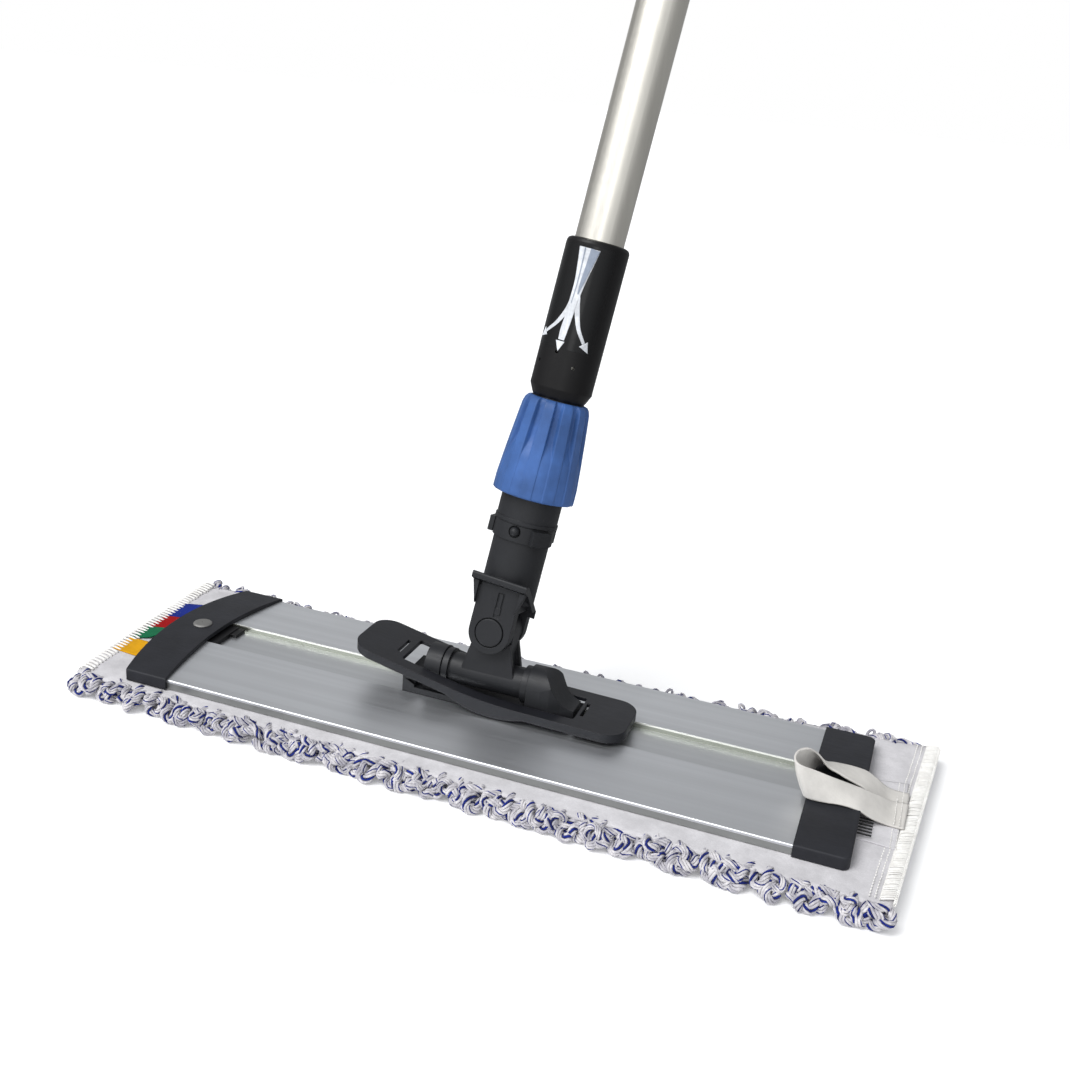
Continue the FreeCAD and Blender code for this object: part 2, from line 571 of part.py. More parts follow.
def lock_button():
    """Sprung ball-nosed button that locks the coupler in the socket."""
    dome = Part.makeSphere(BUTTON_R, V(0, -RING_R + 0.6, BUTTON_Z))
    dome = dome.common(box(-9, 9, -RING_R - 6, -RING_R + 0.6, 0, 99))
    shank = rod_y(BUTTON_R, -RING_R + 0.6, -9.6, 0, BUTTON_Z)
    add("lock_button", dome.fuse(shank), POLE)
    leaf = box(-2.5, 2.5, -6.6, -6.1, 34.0, 60.0)
    leaf = leaf.fuse(box(-2.5, 2.5, -6.1, 6.0, 34.0, 34.5))
    leaf = leaf.fuse(box(-2.5, 2.5, 5.5, 6.0, 34.5, 58.0))
    add("lock_leaf_spring", leaf, POLE)


def coupler_body():
    z0, z1 = COUPLER_Z
    body = lathe([(10.2, 31.0), (SOCKET_BORE - 0.1, 31.0), (SOCKET_BORE - 0.1, z0 - 0.6),
                  (COUPLER_R, z0 - 0.3), (COUPLER_R, z1), (15.4, z1 + 1.0), (15.4, 100.0),
                  (13.1, 100.0), (13.1, z0 + 4.5), (10.2, z0 + 4.5)])
    body = body.cut(rod_y(BUTTON_R + 0.08, -30, 0, 0, BUTTON_Z))
    rim = ring(COUPLER_R + 0.6, COUPLER_R - 0.5, z0 + 0.2, z0 + 2.2)
    add("coupler_body", body.fuse(rim), POLE)


def clamp_collet():
    """Split ring that the collar squeezes on to the tube."""
    body = lathe([(13.06, 100.2), (15.4, 100.2), (15.6, 118.0), (14.4, 124.0), (13.06, 124.0)])
    for index in range(6):
        slot = box(10, 20, -0.6, 0.6, 104.0, 130.0)
        body = body.cut(slot.rotated(V(0, 0, 0), V(0, 0, 1), 60.0 * index + 30))
    add("clamp_collet", body, POLE)


def clamp_collar():
    """Ribbed blue nut; its flutes are deep under the rim and run out towards its skirt."""
    z0, z1 = COLLAR_Z
    body = lathe([(17.5, z0), (COLLAR_BOTTOM_R - 0.6, z0), (COLLAR_BOTTOM_R, z0 + 0.8),
                  (COLLAR_BOTTOM_R - 0.1, z0 + 8.0), (COLLAR_TOP_R + 0.3, z1 - 7.0),
                  (COLLAR_TOP_R - 0.4, z1 - 2.5), (COLLAR_TOP_R - 2.0, z1 - 0.3),
                  (COLLAR_TOP_R - 2.9, z1), (14.2, z1), (14.2, z1 - 3.5), (15.8, z1 - 9.0),
                  (15.8, z0 + 6.0), (17.5, z0 + 4.5)])
    for index in range(COLLAR_RIBS):
        flute = Part.makeCone(3.2, 2.2, 50.0, V(COLLAR_BOTTOM_R + 2.9, 0, z0 + 4.0),
                              V(-3.55, 0, 40.0))
        turn = 360.0 * (index + 0.5) / COLLAR_RIBS - 90.0
        body = body.cut(flute.rotated(V(0, 0, 0), V(0, 0, 1), turn))
    add("clamp_collar", body, POLE)


# ---------------------------------------------------------------- handle
def handle_tube():
    z0, z1 = TUBE_Z
    tube = ring(TUBE_R, TUBE_R - TUBE_WALL, z0, z1)
    for angle in (0.0, 90.0):
        hole = rod_y(1.6, -20, 20, 0, 156.0).rotated(V(0, 0, 0), V(0, 0, 1), angle + 45)
        tube = tube.cut(hole)
    add("handle_tube", tube, POLE)
    inner = TUBE_R - TUBE_WALL - 0.05
    plug = lathe([(0, z0 + 1), (inner, z0 + 1), (inner, z0 + 8), (inner - 1.5, z0 + 9.5),
                  (0, z0 + 9.5)])
    add("bottom_plug", plug, POLE)


def outlet_sleeve():
    """Black sleeve round the tube's foot; water leaves through its three small holes."""
    z0, z1 = SLEEVE_Z
    bore = TUBE_R + 0.06
    body = lathe([(bore, z0), (13.9, z0), (14.6, z0 + 1.2), (SLEEVE_R, z0 + 5.6),
                  (SLEEVE_R, z1 - 2.2), (SLEEVE_R - 0.7, z1 - 0.7), (SLEEVE_R - 2.0, z1),
                  (bore, z1), (bore, 163.0), (14.6, 161.5), (14.6, 142.5), (bore, 141.0)])
    for angle, height in zip(OUTLET_ANGLES, OUTLET_Z):
        hole = rod_y(OUTLET_R, -20, -14, 0, height).rotated(V(0, 0, 0), V(0, 0, 1), angle)
        body = body.cut(hole)
    add("outlet_sleeve", body, POLE)


def flow_label():
    """Thin label on the sleeve's front, which carries the flow arrow."""
    patch = ring(SLEEVE_R + 0.17, SLEEVE_R + 0.02, 155.5, 209.0)
    wedge = prism_z([(0, 0), (-40, -18), (-40, -40), (30, -40), (40, -28)], 150, 215)
    add("flow_label", patch.common(wedge), POLE)


def valve():
    """Dosing valve: pressing the top button pushes the plunger off its seat."""
    inner = TUBE_R - TUBE_WALL - 0.05
    seat = lathe([(5.0, 168.0), (inner, 168.0), (inner, 174.0), (6.5, 174.0), (5.0, 172.0)])
    add("valve_seat", seat, POLE)
    plunger = lathe([(0, 158.0), (7.0, 158.0), (8.5, 160.0), (8.5, 166.0), (6.0, 167.8),
                     (0, 167.8)])
    add("valve_plunger", plunger, POLE)
    top = TUBE_Z[1]
    add("control_rod", rod(2.2, 167.85, top + 3.9), POLE)
    button = lathe([(0, top + 4.0), (7.0, top + 4.0), (7.0, top + 19.0), (5.5, top + 21.0),
                    (0, top + 21.5)])
    add("dosing_button", button, POLE)
    add("return_spring", spring(4.6, 0.6, top - 24.0, top + 3.2, 7), POLE)
    guide = lathe([(2.5, top - 38.0), (inner, top - 38.0), (inner, top - 34.0), (2.5, top - 34.0)])
    add("rod_guide", guide, POLE)


def grip_and_cap():
    z0, z1 = GRIP_Z
    body = ring(GRIP_R, TUBE_R + 0.05, z0, z1)
    body = round_edges(body, 1.2, lambda e: e.BoundBox.XLength > 2 * GRIP_R - 1)
    for index in range(12):
        groove = Part.makeTorus(GRIP_R + 0.9, 1.6, V(0, 0, z0 + 12.0 + index * 8.6))
        body = body.cut(groove)
    add("handle_grip", body, POLE)
    cap = lathe([(7.3, z1 + 0.1), (GRIP_R, z1 + 0.1), (GRIP_R, z1 + 12.0), (GRIP_R - 2.5, z1 + 15.0),
                 (7.3, z1 + 15.0)])
    inner = TUBE_R - TUBE_WALL - 0.1
    cap = cap.fuse(ring(inner, 7.3, z1 - 14.0, z1 + 0.5))
    eye = box(-2.5, 2.5, GRIP_R - 3.0, GRIP_R + 9.0, z1 + 0.3, z1 + 14.0)
    eye = eye.fuse(rod_x(6.85, -2.5, 2.5, GRIP_R + 9.0, z1 + 7.15))
    hole = rod_x(HANG_HOLE_R, -5, 5, GRIP_R + 8.0, z1 + 7.15)
    add("end_cap", cap.fuse(eye).cut(hole).cut(rod(7.3, z1, z1 + 30)), POLE)


# ---------------------------------------------------------------- build
def main():
    for make in (plate_extrusion, right_end_cap, left_end_cap, left_cap_rivet, left_clamp_jaw,
                 right_clamp_comb, cloth, tabs, band_and_loop, foot_base, foot_screws,
                 barrel_axle, rocker_pins, pedal_rocker, cross_barrel, fork_socket, fork_pin,
                 bayonet_ring, lock_button, coupler_body, clamp_collet, clamp_collar,
                 handle_tube, outlet_sleeve, flow_label, valve, grip_and_cap):
        make()
    os.makedirs("parts", exist_ok=True)
    for name, shape in NODES.items():
        print(name, "valid" if shape.isValid() else "NOT VALID", len(shape.Solids), "solid(s)",
              round(shape.Volume / 1000, 2), "cm3")
        shape.exportStep(f"parts/{name}.step")


main()
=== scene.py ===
"""Flat mop: looks, soft goods, light and camera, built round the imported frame."""

import json
import math

import bpy
import numpy as np
from mathutils import Matrix, Vector

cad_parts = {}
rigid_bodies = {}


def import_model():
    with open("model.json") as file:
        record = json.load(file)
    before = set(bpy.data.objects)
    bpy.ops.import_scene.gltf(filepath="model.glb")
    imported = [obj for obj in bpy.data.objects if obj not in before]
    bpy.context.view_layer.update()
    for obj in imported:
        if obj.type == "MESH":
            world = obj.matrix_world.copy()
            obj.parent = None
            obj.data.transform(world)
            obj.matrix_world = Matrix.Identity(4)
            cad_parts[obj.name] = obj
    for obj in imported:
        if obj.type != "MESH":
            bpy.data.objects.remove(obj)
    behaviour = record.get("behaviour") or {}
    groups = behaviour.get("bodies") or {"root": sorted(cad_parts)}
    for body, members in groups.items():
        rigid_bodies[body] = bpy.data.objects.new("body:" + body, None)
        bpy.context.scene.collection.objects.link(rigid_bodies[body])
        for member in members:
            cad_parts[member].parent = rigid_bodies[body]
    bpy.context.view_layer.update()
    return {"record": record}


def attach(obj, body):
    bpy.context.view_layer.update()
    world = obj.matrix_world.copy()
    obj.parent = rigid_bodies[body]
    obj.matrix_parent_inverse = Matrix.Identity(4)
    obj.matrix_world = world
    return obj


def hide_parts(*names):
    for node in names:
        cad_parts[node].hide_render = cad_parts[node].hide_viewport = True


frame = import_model()

MM = 0.001                   # lengths below are in millimetres until a mesh is made
EDGE_Z = 17.0                # top edge of the profile above the floor
CHANNEL_HALF = 14.0
PLATE_HALF = 60.5
CLOTH_TOP = 11.4
FELT_THICK = 1.5
SLEEVE_R = 16.7
FRONT_LEFT, FRONT_RIGHT = np.array((-229.0, -66.0)), np.array((221.0, -80.0))
REAR_LEFT, REAR_RIGHT = np.array((-236.0, 76.0)), np.array((234.0, 83.0))
UP = np.array((0.0, 0.0, 1.0))
FRONT_OUT, REAR_OUT = np.array((0.0, -1.0, 0.0)), np.array((0.0, 1.0, 0.0))
LEFT_OUT, RIGHT_OUT = np.array((-1.0, 0.0, 0.0)), np.array((1.0, 0.0, 0.0))

# From the pole's own axis, up from the fork pin, to the frame at rest
POLE = (Matrix.Translation((-5.3 * MM, 0, 34 * MM)) @ Matrix.Rotation(math.radians(-12.72), 4, "X")
        @ Matrix.Translation((0, 0, 26.9 * MM)) @ Matrix.Rotation(math.radians(6.1), 4, "Y"))


# ---------------------------------------------------------------- materials
def linear(r, g, b):
    def one(c):
        c /= 255.0
        return c / 12.92 if c <= 0.04045 else ((c + 0.055) / 1.055) ** 2.4
    return (one(r), one(g), one(b), 1.0)


class Look:
    """A node material with a few helpers for procedural detail in object space."""

    def __init__(self, name, roughness, metallic=0.0, sockets=()):
        self.material = bpy.data.materials.new(name)
        self.material.use_nodes = True
        self.tree = self.material.node_tree
        self.bsdf = self.tree.nodes["Principled BSDF"]
        self.bsdf.inputs["Roughness"].default_value = roughness
        self.bsdf.inputs["Metallic"].default_value = metallic
        for key, value in dict(sockets).items():
            self.bsdf.inputs[key].default_value = value
        self.coords = self.tree.nodes.new("ShaderNodeTexCoord").outputs["Object"]

    def node(self, kind, settings=(), **inputs):
        node = self.tree.nodes.new("ShaderNode" + kind)
        for key, value in dict(settings).items():
            setattr(node, key, value)
        for key, value in inputs.items():
            socket = node.inputs[key.replace("_", " ")]
            if isinstance(value, bpy.types.NodeSocket):
                self.tree.links.new(value, socket)
            else:
                socket.default_value = value
        return node

    def noise(self, scale, stretch=(1, 1, 1), detail=3.0, rough=0.55, distortion=0.0):
        where = self.node("Mapping", Vector=self.coords, Scale=stretch).outputs["Vector"]
        return self.node("TexNoise", Vector=where, Scale=scale, Detail=detail,
                         Roughness=rough, Distortion=distortion).outputs["Fac"]

    def spread(self, value, low, high, to_low=0.0, to_high=1.0):
        return self.node("MapRange", Value=value, **{
            "From_Min": low, "From_Max": high, "To_Min": to_low, "To_Max": to_high,
        }).outputs["Result"]

    def mix(self, fac, a, b):
        node = self.node("Mix", settings={"data_type": "RGBA"})
        for socket, value in ((node.inputs[0], fac), (node.inputs[6], a), (node.inputs[7], b)):
            if isinstance(value, bpy.types.NodeSocket):
                self.tree.links.new(value, socket)
            else:
                socket.default_value = value
        return node.outputs[2]

    def join(self, operation, a, b):
        node = self.node("Math", settings={"operation": operation})
        for socket, value in zip(node.inputs, (a, b)):
            if isinstance(value, bpy.types.NodeSocket):
                self.tree.links.new(value, socket)
            else:
                socket.default_value = value
        return node.outputs[0]

    def set(self, key, value):
        self.tree.links.new(value, self.bsdf.inputs[key])
        return self

    def bump(self, height, strength, distance, normal=None):
        extra = {} if normal is None else {"Normal": normal}
        out = self.node("Bump", Height=height, Strength=strength, Distance=distance, **extra)
        return out.outputs["Normal"]

    def bevel(self, radius):
        return self.node("Bevel", settings={"samples": 4}, Radius=radius).outputs["Normal"]


def plastic(name, colour, roughness=0.46, grain=0.12, edge=0.0004, gloss=0.5, scuff=0.25):
    """Moulded plastic: fine grain, faint mottling, soft moulded edges and light scuffs."""
    look = Look(name, roughness, sockets={"Specular IOR Level": gloss})
    base = linear(*colour)
    light = linear(*(min(255, c * 1.22 + 7) for c in colour))
    dark = linear(*(c * 0.84 for c in colour))
    mottle = look.spread(look.noise(55.0, detail=5.0), 0.35, 0.68)
    colour_out = look.mix(mottle, dark, base)
    dust = look.spread(look.noise(420.0, detail=6.0, rough=0.7), 0.60, 0.80, 0.0, scuff)
    look.set("Base Color", look.mix(dust, colour_out, light))
    scratches = look.noise(160.0, stretch=(1, 7, 2), detail=6.0, rough=0.75)
    look.set("Roughness", look.spread(scratches, 0.3, 0.72, roughness - 0.07, roughness + 0.10))
    grainy = look.noise(2600.0, detail=2.0)
    look.set("Normal", look.bump(grainy, grain, 0.00012, look.bevel(edge)))
    return look.material


def aluminium(name, colour, roughness, axis, edge=0.00025, zones=None):
    """Anodised aluminium with the faint lines that drawing leaves along one axis."""
    look = Look(name, roughness, 1.0)
    fine = [1400.0 if i != axis else 6.0 for i in range(3)]
    broad = [150.0 if i != axis else 1.5 for i in range(3)]
    lines = look.noise(1.0, stretch=fine, detail=2.0)
    bands = look.noise(1.0, stretch=broad, detail=3.0)
    blotch = look.noise(9.0, detail=4.0)
    base = linear(*colour)
    dark = linear(*(c * 0.945 for c in colour))
    light = linear(*(min(255, c * 1.03) for c in colour))
    tone = look.mix(look.spread(bands, 0.35, 0.65), dark, light)
    tone = look.mix(look.spread(lines, 0.2, 0.8, 0.35, 0.65), tone, base)
    tone = look.mix(look.spread(blotch, 0.4, 0.62, 0.0, 0.35), tone, dark)
    # Where zones are given, they paint shade and highlight over the metal's tone.
    look.set("Base Color", zones(look, tone) if zones else tone)
    look.set("Roughness", look.spread(lines, 0.25, 0.75, roughness - 0.05, roughness + 0.08))
    both = look.join("ADD", look.join("MULTIPLY", lines, 0.35), bands)
    look.set("Normal", look.bump(both, 0.05, 0.00004, look.bevel(edge)))
    return look.material


def profile_painted_shade_and_highlight(look, tone):
    """Painted shade: darker metal inside the channel, on its walls and on the skirts, with a
    painted highlight on the bead along each edge.
    """
    place = look.node("SeparateXYZ", Vector=look.coords)
    away = look.join("ABSOLUTE", place.outputs["Y"], 0.0)
    height = place.outputs["Z"]
    inside = look.join("LESS_THAN", away, (CHANNEL_HALF + 0.02) * MM)
    beyond_floor = look.join("GREATER_THAN", away, (CHANNEL_HALF - 0.04) * MM)
    wall = look.join("MULTIPLY", inside, beyond_floor)
    bead = look.join("GREATER_THAN", height, (EDGE_Z + 1.5) * MM)
    skirt = look.join("MULTIPLY", look.join("GREATER_THAN", away, (PLATE_HALF - 0.15) * MM),
                      look.join("LESS_THAN", height, (EDGE_Z - 1.6) * MM))
    # Painted shade for the channel floor and its walls, greenish on the walls, and a painted
    # highlight on the bead at the top of each wall.
    painted_channel_shade, greenish_painted_wall_shade, painted_bead_highlight = linear(150, 152, 153), linear(150, 153, 142), linear(228, 229, 220)
    tone = look.mix(look.join("MULTIPLY", inside, 0.22), tone, painted_channel_shade)
    tone = look.mix(wall, tone, look.mix(bead, greenish_painted_wall_shade, painted_bead_highlight))
    # Painted shade on the skirts below the bead.
    return look.mix(look.join("MULTIPLY", skirt, 0.85), tone, linear(150, 152, 148))


def cloth(name, colour, weave=1500.0, fuzz=0.35, sheen=0.12, variation=0.88):
    """Felt or woven tape: fibres, weave and a soft sheen."""
    look = Look(name, 0.92, sockets={"Specular IOR Level": 0.12, "Sheen Weight": sheen,
                                     "Sheen Roughness": 0.45})
    base = linear(*colour)
    dark = linear(*(c * variation for c in colour))
    patches = look.spread(look.noise(70.0, detail=6.0, rough=0.65), 0.36, 0.64)
    fibres = look.noise(900.0, stretch=(1, 2.2, 1), detail=5.0, rough=0.7, distortion=0.6)
    tone = look.mix(patches, dark, base)
    deep = linear(*(c * variation * 0.93 for c in colour))
    look.set("Base Color", look.mix(look.spread(fibres, 0.42, 0.7, 0.45, 0.0), tone, deep))
    threads = look.node("TexVoronoi", Vector=look.coords, Scale=weave).outputs["Distance"]
    height = look.join("ADD", fibres, look.join("MULTIPLY", threads, 0.4))
    look.set("Normal", look.bump(height, fuzz, 0.0005))
    return look.material


def tape(name, colour, along=0, pitch=0.00055, strength=0.35, variation=0.9):
    """Woven tape: ribs of warp along one axis, crossed by weft. The pitch is in metres."""
    look = Look(name, 0.85, sockets={"Specular IOR Level": 0.10, "Sheen Weight": 0.03,
                                     "Sheen Roughness": 0.5})
    base = linear(*colour)
    dark = linear(*(c * variation for c in colour))
    axes = ("X", "Y", "Z")
    cross = "Y" if along == 0 else "X"
    scale = 2 * math.pi / pitch / 20.0        # a wave texture of scale 1 has 20 / (2 pi) bands
    warp = look.node("TexWave", settings={"bands_direction": cross}, Vector=look.coords,
                     Scale=scale, Distortion=0.6, Detail=2.0).outputs["Fac"]
    weft = look.node("TexWave", settings={"bands_direction": axes[along]}, Vector=look.coords,
                     Scale=scale * 0.8, Distortion=0.8, Detail=2.0).outputs["Fac"]
    woven = look.join("ADD", look.join("MULTIPLY", warp, 0.6), look.join("MULTIPLY", weft, 0.4))
    patches = look.spread(look.noise(120.0, detail=5.0, rough=0.7), 0.38, 0.64)
    tone = look.mix(patches, dark, base)
    look.set("Base Color", look.mix(look.spread(woven, 0.1, 0.9, 0.30, 0.0), tone, dark))
    look.set("Normal", look.bump(woven, strength, 0.00025))
    return look.material


def yarn(name, colour, shade, sheen=0.2):
    """Spun yarn: fine fibres over broader blotches of a darker shade."""
    look = Look(name, 0.9, sockets={"Specular IOR Level": 0.18, "Sheen Weight": sheen,
                                    "Sheen Roughness": 0.5})
    fibres = look.noise(1700.0, detail=4.0, rough=0.7, distortion=1.2)
    blotch = look.noise(220.0, detail=3.0)
    tone = look.mix(look.spread(blotch, 0.36, 0.64), linear(*shade), linear(*colour))
    look.set("Base Color", look.mix(look.spread(fibres, 0.4, 0.66, 0.5, 0.0), tone, linear(*shade)))
    look.set("Normal", look.bump(fibres, 0.5, 0.0004))
    return look.material


LOOKS = {
    "aluminium_profile": aluminium("aluminium_profile", (226, 228, 231), 0.42, 0,
                                   zones=profile_painted_shade_and_highlight),
    "anodised_tube": aluminium("anodised_tube", (234, 230, 220), 0.34, 2),
    "rivet_steel": aluminium("rivet_steel", (150, 149, 147), 0.62, 1, edge=0.0003),
    "zinc_steel": aluminium("zinc_steel", (196, 196, 198), 0.36, 1, edge=0.0002),
    "anthracite_plastic": plastic("anthracite_plastic", (38, 39, 44), 0.52, grain=0.16,
                                  edge=0.0005, gloss=0.26),
    "pedal_plastic": plastic("pedal_plastic", (28, 29, 34), 0.38, grain=0.10, edge=0.0007,
                             gloss=0.32),
    "joint_plastic": plastic("joint_plastic", (34, 35, 38), 0.46, edge=0.0006, gloss=0.30),
    "black_plastic": plastic("black_plastic", (17, 17, 19), 0.45, grain=0.10, edge=0.0003,
                             gloss=0.3),
    "black_sleeve": plastic("black_sleeve", (14, 13, 14), 0.40, grain=0.08, edge=0.0006,
                            gloss=0.26, scuff=0.12),
    "label_film": plastic("label_film", (9, 9, 10), 0.20, grain=0.03, edge=0.0001, gloss=0.34,
                          scuff=0.05),
    "blue_plastic": plastic("blue_plastic", (60, 95, 154), 0.44, grain=0.10, gloss=0.26,
                            scuff=0.06),
    "grip_rubber": plastic("grip_rubber", (30, 31, 33), 0.62, grain=0.25, edge=0.0005,
                           gloss=0.3),
    "white_cloth": cloth("white_cloth", (218, 216, 219)),
    "mop_yarn": yarn("mop_yarn", (224, 221, 221), (158, 156, 164)),
    "hem_thread": yarn("hem_thread", (246, 245, 242), (226, 224, 220), sheen=0.08),
    "blue_cloth": tape("blue_cloth", (24, 44, 134)),
    "red_cloth": tape("red_cloth", (158, 8, 12)),
    "green_cloth": tape("green_cloth", (20, 104, 68)),
    "yellow_cloth": tape("yellow_cloth", (222, 162, 18)),
    "white_elastic": tape("white_elastic", (208, 205, 200), pitch=0.0009, strength=0.22,
                          variation=0.95),
}
BLUE_YARN = yarn("blue_yarn", (30, 50, 146), (12, 20, 76), sheen=0.1)
ARROW_PRINT = tape("arrow_print", (222, 225, 230), 2, 0.0016, strength=0.05, variation=0.82)
ARROW_SHADE = tape("arrow_shade", (142, 151, 166), 2, 0.0016, strength=0.05)

for part in frame["record"]["subparts"]:
    node = bpy.data.objects[part["node"]]
    if not node.material_slots:
        node.data.materials.append(None)
    for place in node.material_slots:
        place.material = LOOKS[part["material_slot"]]


# ---------------------------------------------------------------- mesh helpers
def piece(name, verts, faces, body, slot, replaced=(), kinds=None, materials=None, smooth=True):
    """A mesh piece in millimetres of the row frame, riding on a body."""
    mesh = bpy.data.meshes.new(name)
    mesh.from_pydata((np.asarray(verts, dtype=float) * MM).tolist(), [], faces)
    for material in materials or [LOOKS[slot]]:
        mesh.materials.append(material)
    if kinds is not None:
        mesh.polygons.foreach_set("material_index", kinds)
    mesh.polygons.foreach_set("use_smooth", [smooth] * len(mesh.polygons))
    mesh.update()
    obj = bpy.data.objects.new(name, mesh)
    bpy.context.scene.collection.objects.link(obj)
    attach(obj, body)
    if replaced:
        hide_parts(*replaced)
    return obj


def unit(v):
    v = np.asarray(v, dtype=float)
    return v / np.maximum(np.linalg.norm(v, axis=-1, keepdims=True), 1e-12)


def sheet_faces(rows, cols):
    """Faces of a closed sheet whose top grid comes before its bottom grid."""
    top = np.arange(rows * cols).reshape(rows, cols)
    low = top + rows * cols
    faces = []

    def quads(a, b, c, d):
        faces.extend(np.stack([a, b, c, d], -1).reshape(-1, 4).tolist())
    quads(top[:-1, :-1], top[1:, :-1], top[1:, 1:], top[:-1, 1:])
    quads(low[:-1, :-1], low[:-1, 1:], low[1:, 1:], low[1:, :-1])
    for t, b in ((top[0], low[0]), (top[:, -1], low[:, -1]),
                 (top[-1][::-1], low[-1][::-1]), (top[::-1, 0], low[::-1, 0])):
        quads(t[:-1], t[1:], b[1:], b[:-1])
    return faces


def closed_sheet(grid, thick):
    """Top and bottom grids of a sheet of that thickness, centred on the given grid."""
    du = np.gradient(grid, axis=0)
    dv = np.gradient(grid, axis=1)
    normal = unit(np.cross(du, dv))
    both = np.concatenate([(grid + normal * thick / 2).reshape(-1, 3),
                           (grid - normal * thick / 2).reshape(-1, 3)])
    return both, sheet_faces(*grid.shape[:2])


def ring_faces(rings, around):
    """Faces of a closed ring of revolution: its section and its turn both close."""
    index = np.arange(rings * around).reshape(rings, around)
    up, right = np.roll(index, -1, 0), np.roll(index, -1, 1)
    return np.stack([index, right, np.roll(up, -1, 1), up], -1).reshape(-1, 4).tolist()


def on_pole(points):
    """Points measured up the pole from its fork pin, placed in the frame."""
    m = np.array(POLE)
    return (points * MM) @ m[:3, :3].T / MM + m[:3, 3] / MM


def smooth_line(points, count):
    """A Catmull-Rom line through the points, evenly divided in its parameter."""
    p = np.asarray(points, dtype=float)
    p = np.vstack([2 * p[0] - p[1], p, 2 * p[-1] - p[-2]])
    where = np.linspace(0, len(p) - 3 - 1e-9, count)
    k = where.astype(int)
    t = (where - k)[:, None]
    a, b, c, d = p[k], p[k + 1], p[k + 2], p[k + 3]
    return 0.5 * (2 * b + (c - a) * t + (2 * a - 5 * b + 4 * c - d) * t ** 2
                  + (3 * b - a - 3 * c + d) * t ** 3)


def even_line(points, step):
    """The same line with points a step apart."""
    p = np.asarray(points, dtype=float)
    s = np.concatenate([[0], np.cumsum(np.linalg.norm(np.diff(p, axis=0), axis=1))])
    count = max(4, int(round(s[-1] / step)) + 1)
    at = np.linspace(0, s[-1], count)
    return np.stack([np.interp(at, s, p[:, i]) for i in range(3)], 1), at


def carried_frames(points):
    """Normals and binormals carried along a line without twist."""
    tangent = unit(np.gradient(points, axis=0))
    normal = np.zeros_like(points)
    first = np.cross(tangent[0], UP)
    if np.linalg.norm(first) < 0.2:
        first = np.cross(tangent[0], (1.0, 0.0, 0.0))
    current = unit(first)
    for i, t in enumerate(tangent):
        current = unit(current - t * np.dot(current, t))
        normal[i] = current
    return normal, np.cross(tangent, normal)


class Strands:
    """Many closed tubes gathered into one mesh, each with a kind of its own."""

    def __init__(self):
        self.verts, self.faces, self.kinds, self.count = [], [], [], 0

    def tube(self, rings, kind=0):
        n, k = rings.shape[:2]
        index = np.arange(n * k).reshape(n, k) + self.count
        turned = np.roll(index, -1, axis=1)
        quads = np.stack([index[:-1], turned[:-1], turned[1:], index[1:]], -1)
        new = quads.reshape(-1, 4).tolist() + [index[0][::-1].tolist(), index[-1].tolist()]
        self.faces.extend(new)
        self.kinds.extend([kind] * len(new))
        self.verts.append(rings.reshape(-1, 3))
        self.count += n * k

    def thread(self, points, radius, sides=5, kind=0):
        normal, binormal = carried_frames(points)
        turn = np.linspace(0, 2 * math.pi, sides, endpoint=False)
        rings = points[:, None] + radius * (np.cos(turn)[None, :, None] * normal[:, None]
                                            + np.sin(turn)[None, :, None] * binormal[:, None])
        self.tube(rings, kind)

    def twisted(self, points, step, plies, phase=0.0, size=1.0):
        """A yarn: plies of (offset, radius, sides, kind, turn) wound about the line."""
        points, at = even_line(points, step)
        normal, binormal = carried_frames(points)
        for offset, radius, sides, kind, start, lay in plies:
            angle = (2 * math.pi * at / lay + start + phase)[:, None]
            centre = points + size * offset * (np.cos(angle) * normal + np.sin(angle) * binormal)
            turn = np.linspace(0, 2 * math.pi, sides, endpoint=False)
            around = (np.cos(turn)[None, :, None] * normal[:, None]
                      + np.sin(turn)[None, :, None] * binormal[:, None])
            self.tube(centre[:, None] + size * radius * around, kind)

    def build(self, name, body, slot, replaced=(), materials=None):
        return piece(name, np.concatenate(self.verts), self.faces, body, slot, replaced,
                     self.kinds, materials)


# ---------------------------------------------------------------- cloth backing
def edge_waves(t, seed, size):
    """A small uneven wave for an edge that was never cut quite straight."""
    return size * (np.sin(t * 9.1 + seed) * 0.5 + np.sin(t * 23.7 + seed * 2.3) * 0.3
                   + np.sin(t * 51.0 + seed * 4.1) * 0.2)


REAR_BOW = 12.0              # the rear edge draws in this much at its middle


def cloth_point(u, v):
    """Plan position on the cloth: u from its left end to its right, v from front to rear."""
    front = FRONT_LEFT + (FRONT_RIGHT - FRONT_LEFT) * u[..., None]
    rear = REAR_LEFT + (REAR_RIGHT - REAR_LEFT) * u[..., None]
    rear[..., 1] -= REAR_BOW * np.sin(math.pi * u) ** 0.7
    front[..., 1] += edge_waves(u * 6.0, 1.0, 1.2)
    rear[..., 1] += edge_waves(u * 6.0, 3.0, 1.2)
    flat = front + (rear - front) * v[..., None]
    ends = (np.abs(u - 0.5) * 2) ** 14
    flat[..., 0] += np.sign(u - 0.5) * ends * edge_waves(v * 3.0, 5.0 + 2 * (u > 0.5).mean(), 1.0)
    return flat


def cloth_height(u, v):
    """Height of the felt's top: flat under the plate, softly rolling where it shows."""
    rim = np.maximum(np.abs(u - 0.5) * 2 - 0.80, 0) / 0.20
    long_rim = np.maximum(np.abs(v - 0.5) * 2 - 0.80, 0) / 0.20
    roll = 0.45 * rim * np.sin(v * 11 + u * 5) - 0.9 * long_rim ** 2
    return CLOTH_TOP - 0.15 + roll


